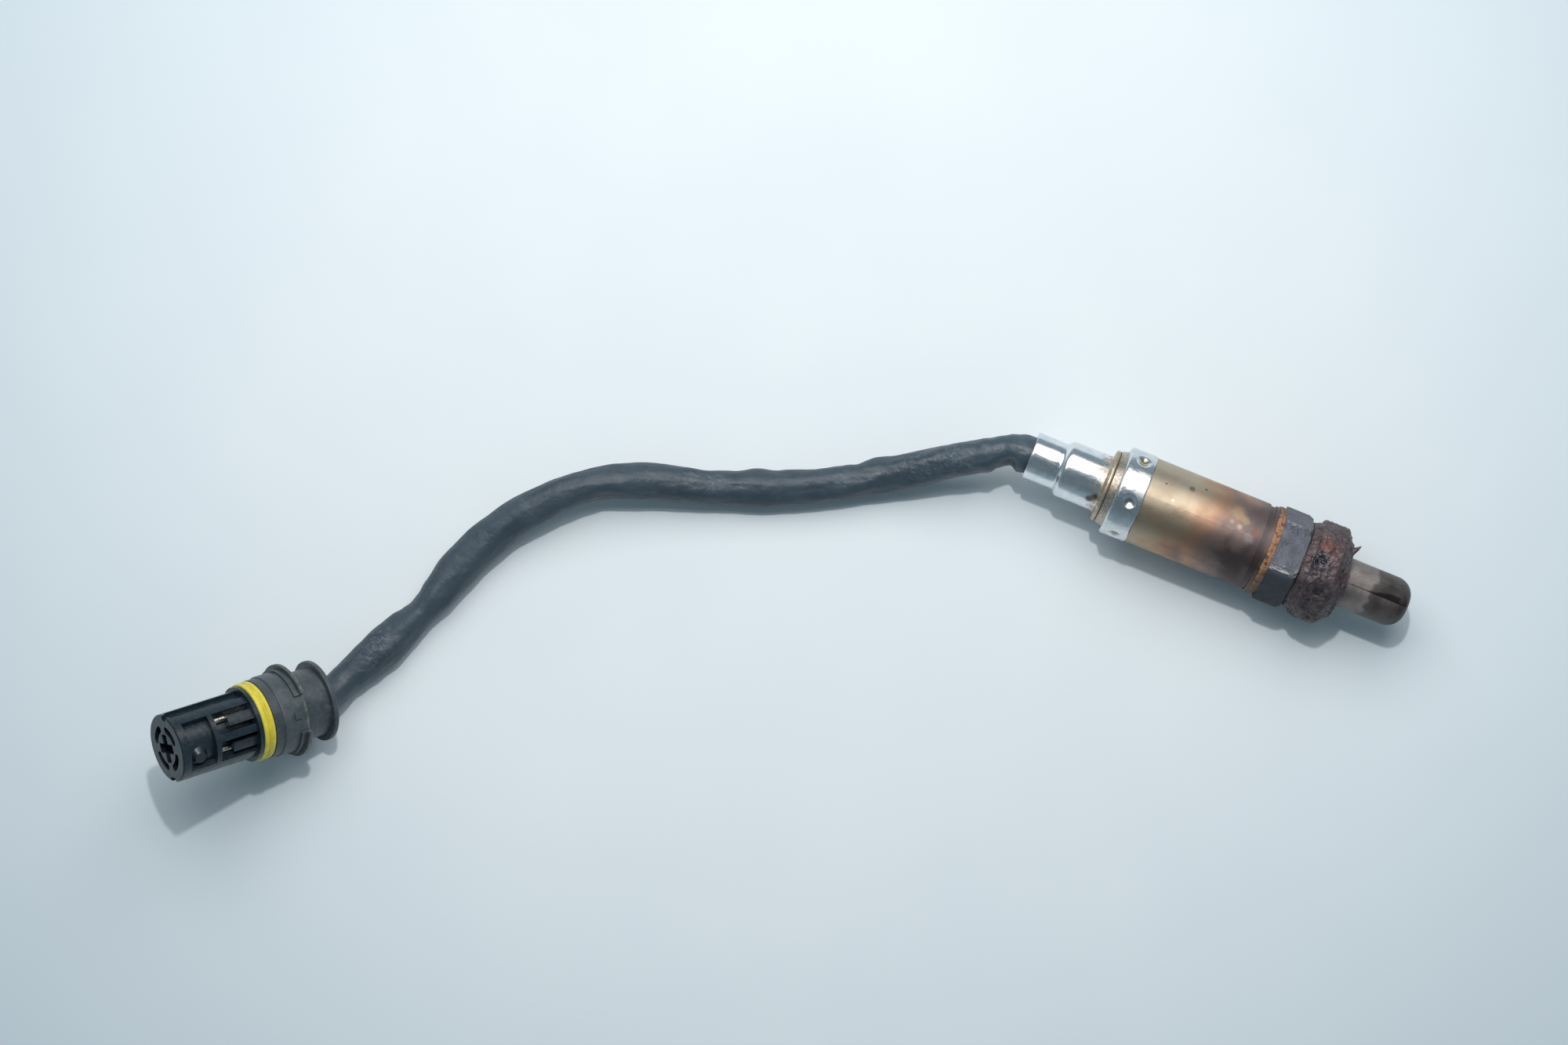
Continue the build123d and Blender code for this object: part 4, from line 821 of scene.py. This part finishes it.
LUMPS = (
    # mm from the sensor's end, degrees from the top towards the far side, mm of height, which is
    # below 0 for a pinch, and mm and degrees of reach
    (6.9, -62.0, -1.0, 1.6, 30.0), (4.4, -80.0, 0.5, 1.2, 34.0), (11.2, 40.0, -0.45, 1.2, 34.0),
    (15.4, 34.0, -0.5, 1.3, 34.0), (13.2, -70.0, 0.35, 1.8, 40.0), (8.6, 0.0, -0.5, 1.4, 40.0),
    (19.0, -40.0, 0.25, 3.0, 40.0), (40.5, -34.0, -0.5, 1.3, 24.0), (46.5, 70.0, -0.3, 1.6, 40.0),
    (63.0, 80.0, 0.25, 3.0, 40.0), (78.0, -30.0, -0.3, 6.0, 30.0), (100.0, 80.0, 0.25, 4.0, 40.0),
    (112.0, -50.0, -0.35, 3.0, 40.0), (170.0, 10.0, -0.5, 3.0, 50.0), (186.0, 10.0, 0.3, 5.0, 40.0),
)
HARNESS_END = 0.003  # m, over which each end loses its ridges and ripples
RIDGE_HEIGHT, RIDGE_TWIST = 0.00009, 45  # m, and radians to a metre: four leads show through
RIPPLE_HEIGHT, RIPPLE_PITCH = 0.00022, 140  # m, and waves to a metre
FLATTENED = 0.7  # the cosine of how far from straight down the sleeve may lie flat


def harness_radius(length, angle):
    """The sleeve's radius where the leads, pinches, lumps and the floor have shaped it."""
    far = near = HARNESS_RADIUS
    station = length * 1000
    for (start, far_0, near_0), (end, far_1, near_1) in zip(SIDES, SIDES[1:]):
        if start <= station <= end:
            share = (station - start) / (end - start)
            share = share * share * (3 - 2 * share)
            far = (far_0 + (far_1 - far_0) * share) / 1000
            near = (near_0 + (near_1 - near_0) * share) / 1000
    side = math.sin(angle)
    wider = (far if side > 0 else near) - HARNESS_RADIUS
    radius = HARNESS_RADIUS + wider * abs(side) ** 1.5
    for middle, turn, height, reach, width in LUMPS:
        fall = ((station - middle) / reach) ** 2 + (degrees_past(turn, angle) / width) ** 2
        radius += height / 1000 * math.exp(-fall)
    left = max(0.0, harness_length - length)
    ends = min(1.0, length / HARNESS_END, left / HARNESS_END)
    radius += RIDGE_HEIGHT * math.cos(4 * (angle + length * RIDGE_TWIST)) * ends
    ripple = Vector((length * RIPPLE_PITCH, 1.6 * math.cos(angle), 1.6 * math.sin(angle)))
    radius += RIPPLE_HEIGHT * noise.fractal(ripple, 1.0, 2.0, 3) * ends
    below = math.cos(angle)
    if below < 0:
        radius = min(radius, HARNESS_RADIUS / max(FLATTENED, -below))
    return radius


harness_line = evenly(spline_line(ROUTE), 0.0007)
harness_length = sum((b - a).length for a, b in zip(harness_line, harness_line[1:]))
harness = tube_mesh("harness_tube", harness_line, harness_radius, sides=96)
for vertex in harness.data.vertices:
    vertex.co.z = max(vertex.co.z, FLOOR_GAP)
rubber = Finish("charcoal_shrink_tube")
cloudy = rubber.noise(0.12, 4.0, 0.55)
tone = rubber.ramp(cloudy, (0.3, shade(51, 64, 74)), (0.7, shade(64, 79, 90)))
dusty = rubber.ease(rubber.noise(0.3, 5.0, 0.65), 0.52, 0.78, 0.0, 0.3)
tone = rubber.mix(dusty, tone, shade(94, 103, 108))
scratches = rubber.ease(rubber.noise(1.0, 5.0, 0.7, rubber.stretched(0.7, 1.3, 1.3)), 0.46, 0.68)
for centre, reach, share in (
    ((-207.0, -105.5, -4.1), 4.2, 0.55), ((-207.5, -112.5, -4.1), 2.5, 0.35),
    ((-185.3, -61.1, -4.1), 3.0, 0.5), ((-182.4, -57.5, -4.1), 2.2, 0.45),
    ((-148.8, -37.9, -4.1), 2.2, 0.5), ((-143.5, -36.6, -4.1), 2.6, 0.4),
    ((-114.0, -23.6, -4.1), 2.0, 0.5), ((-97.0, -13.4, 0.6), 4.5, 0.45),
    ((-89.0, -8.2, 0.6), 4.0, 0.45), ((-165.0, -45.0, -4.1), 2.5, 0.25),
):
    scuff = rubber.times(rubber.spot(centre, reach, 0.7, 1.2, 0.5), scratches)
    tone = rubber.stain(tone, scuff, share, 126, 136, 146)
relief = rubber.bump(rubber.noise(1.6, 4.0, 0.6), 0.05)
relief = rubber.bump(rubber.noise(0.45, 4.0), 0.25, relief)
dull = rubber.ease(cloudy, 0.3, 0.7, 0.44, 0.56)
dull = rubber.times(dull, rubber.ease(rubber.x, -125.0, -95.0, 1.0, 0.75))
harness.data.materials.append(rubber.done(tone, dull, relief))
CONNECTOR_NODES = [
    "connector_cap", "wire_seal", "connector_body", "spacer_ring", "connector_seal",
    "contact_carrier",
]
for number in range(1, 5):
    CONNECTOR_NODES += [f"terminal_{number}", f"inner_lead_{number}"]
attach(harness, "root")
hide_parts("harness_sleeve")

# Connector body and cap: moulded glass-filled nylon. The cap clips over the body's rear, and road
# dust has settled in the corners of both.
level = Vector((-NOSE_WAY.y, NOSE_WAY.x, 0)).normalized()
NOSE_TURN = Matrix((level, NOSE_WAY.cross(level), NOSE_WAY)).to_euler()


def nylon_finish(name, dark, light, dust_share):
    """Dull dark nylon with patches of dust, smears, and a line of dirt round its joint."""
    nylon = Finish(name, REAR_FLANGE, NOSE_TURN)
    cloudy = nylon.noise(0.35, 4.0, 0.6)
    tone = nylon.ramp(cloudy, (0.3, shade(*dark)), (0.7, shade(*light)))
    dust = nylon.ease(nylon.noise(0.45, 6.0, 0.7), 0.46, 0.7)
    dust = nylon.times(dust, dust_share)
    tone = nylon.mix(dust, tone, shade(118, 113, 105))
    joint = nylon.calc("SUBTRACT", nylon.z, nylon.ease(nylon.noise(0.7, 4.0), 0.0, 1.0, 7.7, 9.3))
    joint = nylon.band(joint, -0.3, 0.3, 0.35)
    tone = nylon.stain(tone, joint, 0.5, 148, 144, 132)
    smears = nylon.noise(0.6, 4.0, 0.65, nylon.stretched(0.5, 0.5, 2.0))
    tone = nylon.mix(nylon.ease(smears, 0.55, 0.75, 0.0, 0.35), tone, shade(98, 98, 92))
    grain = nylon.noise(5.0, 3.0, 0.6)
    relief = nylon.bump(grain, 0.025)
    dull = nylon.ease(cloudy, 0.3, 0.7, 0.36, 0.5)
    return nylon.done(tone, dull, relief)


dress(nylon_finish("dusty_cap_nylon", (50, 60, 66), (72, 82, 86), 0.32), "connector_cap")
dress(nylon_finish("dusty_body_nylon", (57, 67, 70), (76, 86, 89), 0.3), "connector_body")
dress(nylon_finish("grey_spacer_nylon", (54, 61, 66), (70, 77, 82), 0.2), "spacer_ring")

# Seals: two-lipped rings of yellow silicone, one round the connector's front and one round the
# wires. They are moulded soft, stretched into place, and hold by their lips.
silicone = Finish("yellow_silicone", REAR_FLANGE, NOSE_TURN)
tone = silicone.ramp(silicone.noise(0.5), (0.3, shade(212, 195, 52)), (0.7, shade(228, 214, 84)))
grime = silicone.ease(silicone.noise(1.3, 5.0, 0.7), 0.6, 0.72)
tone = silicone.stain(tone, grime, 0.75, 112, 84, 34)
specks = silicone.ease(silicone.cells(1.5), 0.14, 0.06)
tone = silicone.stain(tone, specks, 0.8, 84, 60, 30)
relief = silicone.bump(silicone.noise(1.5), 0.05)
silicone.shader.inputs["Subsurface Weight"].default_value = 0.08
silicone.shader.inputs["Subsurface Scale"].default_value = 0.0006
dress(silicone.done(tone, 0.38, relief), "connector_seal", "wire_seal")

# Contact carrier: glossy blue-black nylon that holds the four terminals, with their latch fingers
# moulded in its rear windows and two keyways that let it into its mate one way round only.
glossy = Finish("gloss_carrier_nylon", REAR_FLANGE, NOSE_TURN)
cloudy = glossy.noise(0.4, 4.0, 0.6)
tone = glossy.ramp(cloudy, (0.3, shade(22, 34, 42)), (0.7, shade(33, 47, 56)))
dust = glossy.ease(glossy.noise(0.7, 6.0, 0.7), 0.55, 0.78, 0.0, 0.22)
tone = glossy.mix(dust, tone, shade(88, 98, 104))
relief = glossy.bump(glossy.noise(4.0, 3.0, 0.6), 0.02)
relief = glossy.bump(glossy.noise(0.6, 2.0), 0.08, relief)
dull = glossy.ease(glossy.noise(0.8, 4.0, 0.6), 0.35, 0.7, 0.24, 0.38)
dress(glossy.done(tone, dull, relief), "contact_carrier")

# Terminals: sockets rolled from tin-plated copper alloy strip and crimped on the leads. Each is
# pushed into its pocket in the carrier until a finger snaps behind it.
tinned = Finish("tinned_terminal", REAR_FLANGE, NOSE_TURN)
tone = tinned.ramp(tinned.noise(0.8), (0.3, shade(196, 190, 176)), (0.7, shade(222, 218, 208)))
satin = tinned.ease(tinned.noise(2.0, 3.0), 0.3, 0.7, 0.18, 0.34)
terminals = [f"terminal_{number}" for number in range(1, 5)]
dress(tinned.done(tone, satin, tinned.bump(tinned.noise(1.2), 0.05), 1.0), *terminals)

# Stage: a sheet of pale paper, a large soft lamp beyond the sensor, and a small one high up that
# throws a second, sharper shadow.
FLOOR_SIZE = 4  # m
bpy.ops.mesh.primitive_plane_add(size=FLOOR_SIZE, location=(0, 0, 0))
floor = bpy.context.object
floor.name = "floor"
paper = Finish("pale_paper", Vector((0, 0, 0)))
tone = paper.ramp(paper.noise(0.02, 2.0), (0.3, shade(233, 240, 244)), (0.7, shade(236, 243, 246)))
# Painted light: the paper is paler round the middle of the view and darker towards its edges, a
# painted pool of light.
LIT_POOL_MIDDLE, LIT_POOL_REACH = (-102.5, -10.0, 0.0), 210.0  # mm
pale = paper.spot(LIT_POOL_MIDDLE, LIT_POOL_REACH, 0.55)
tone = paper.mix(pale, shade(209, 223, 231), tone)
floor.data.materials.append(paper.done(tone, 0.9))
paper.shader.inputs["Specular IOR Level"].default_value = 0.1

AWAY = Vector((-0.380, 0.925, 0.0))  # along the floor, from the viewer's side to the far side
ACROSS = Vector((0.925, 0.380, 0.0))  # along the floor, from left to right
CAMERA_PLACE = Vector((-0.0706, -0.1162, 0.8001))
CAMERA_BACK = Vector((0.0397, -0.0967, 0.9945)).normalized()
right = (ACROSS - ACROSS.dot(CAMERA_BACK) * CAMERA_BACK).normalized()
camera = bpy.data.objects.new("camera", bpy.data.cameras.new("camera"))
camera.data.lens = 72.0
camera.data.sensor_width = 36.0
axes = Matrix((right, CAMERA_BACK.cross(right), CAMERA_BACK)).transposed()
camera.matrix_world = Matrix.Translation(CAMERA_PLACE) @ axes.to_4x4()
scene.collection.objects.link(camera)
scene.camera = camera

# The studio's walls give a soft bluish light, which is weaker from higher up.
world = bpy.data.worlds.new("studio")
world.use_nodes = True
sky = world.node_tree
direction = sky.nodes.new("ShaderNodeTexCoord").outputs["Generated"]
parts = sky.nodes.new("ShaderNodeSeparateXYZ")
sky.links.new(direction, parts.inputs["Vector"])
dim = sky.nodes.new("ShaderNodeMapRange")
levels = {"From Min": 0.15, "From Max": 0.55, "To Min": 0.38, "To Max": 0.205}
for label, level in levels.items():
    dim.inputs[label].default_value = level
sky.links.new(parts.outputs["Z"], dim.inputs["Value"])
sky.links.new(dim.outputs["Result"], sky.nodes["Background"].inputs["Strength"])
sky.nodes["Background"].inputs["Color"].default_value = (0.64, 0.86, 1.0, 1)
scene.world = world

AIM = Vector((-0.1025, -0.0384, 0.0))  # the floor in the middle of the view


def lamp(name, away, across, height, width, depth, power, colour):
    """A flat lamp that faces the aim, placed in metres away from it, across and up."""
    light = bpy.data.lights.new(name, "AREA")
    light.shape = "RECTANGLE"
    light.size = width
    light.size_y = depth
    light.energy = power
    light.color = colour
    holder = bpy.data.objects.new(name, light)
    place = AIM + away * AWAY + across * ACROSS + Vector((0, 0, height))
    back = (place - AIM).normalized()
    axes = Matrix((ACROSS, back.cross(ACROSS), back)).transposed()
    holder.matrix_world = Matrix.Translation(place) @ axes.to_4x4()
    scene.collection.objects.link(holder)


lamp("softbox", 0.27, 0.0, 0.44, 0.62, 0.42, 2.06, (1.0, 0.985, 0.97))
lamp("flash", 0.25, 0.02, 0.8, 0.03, 0.03, 1.9, (1, 1, 1))
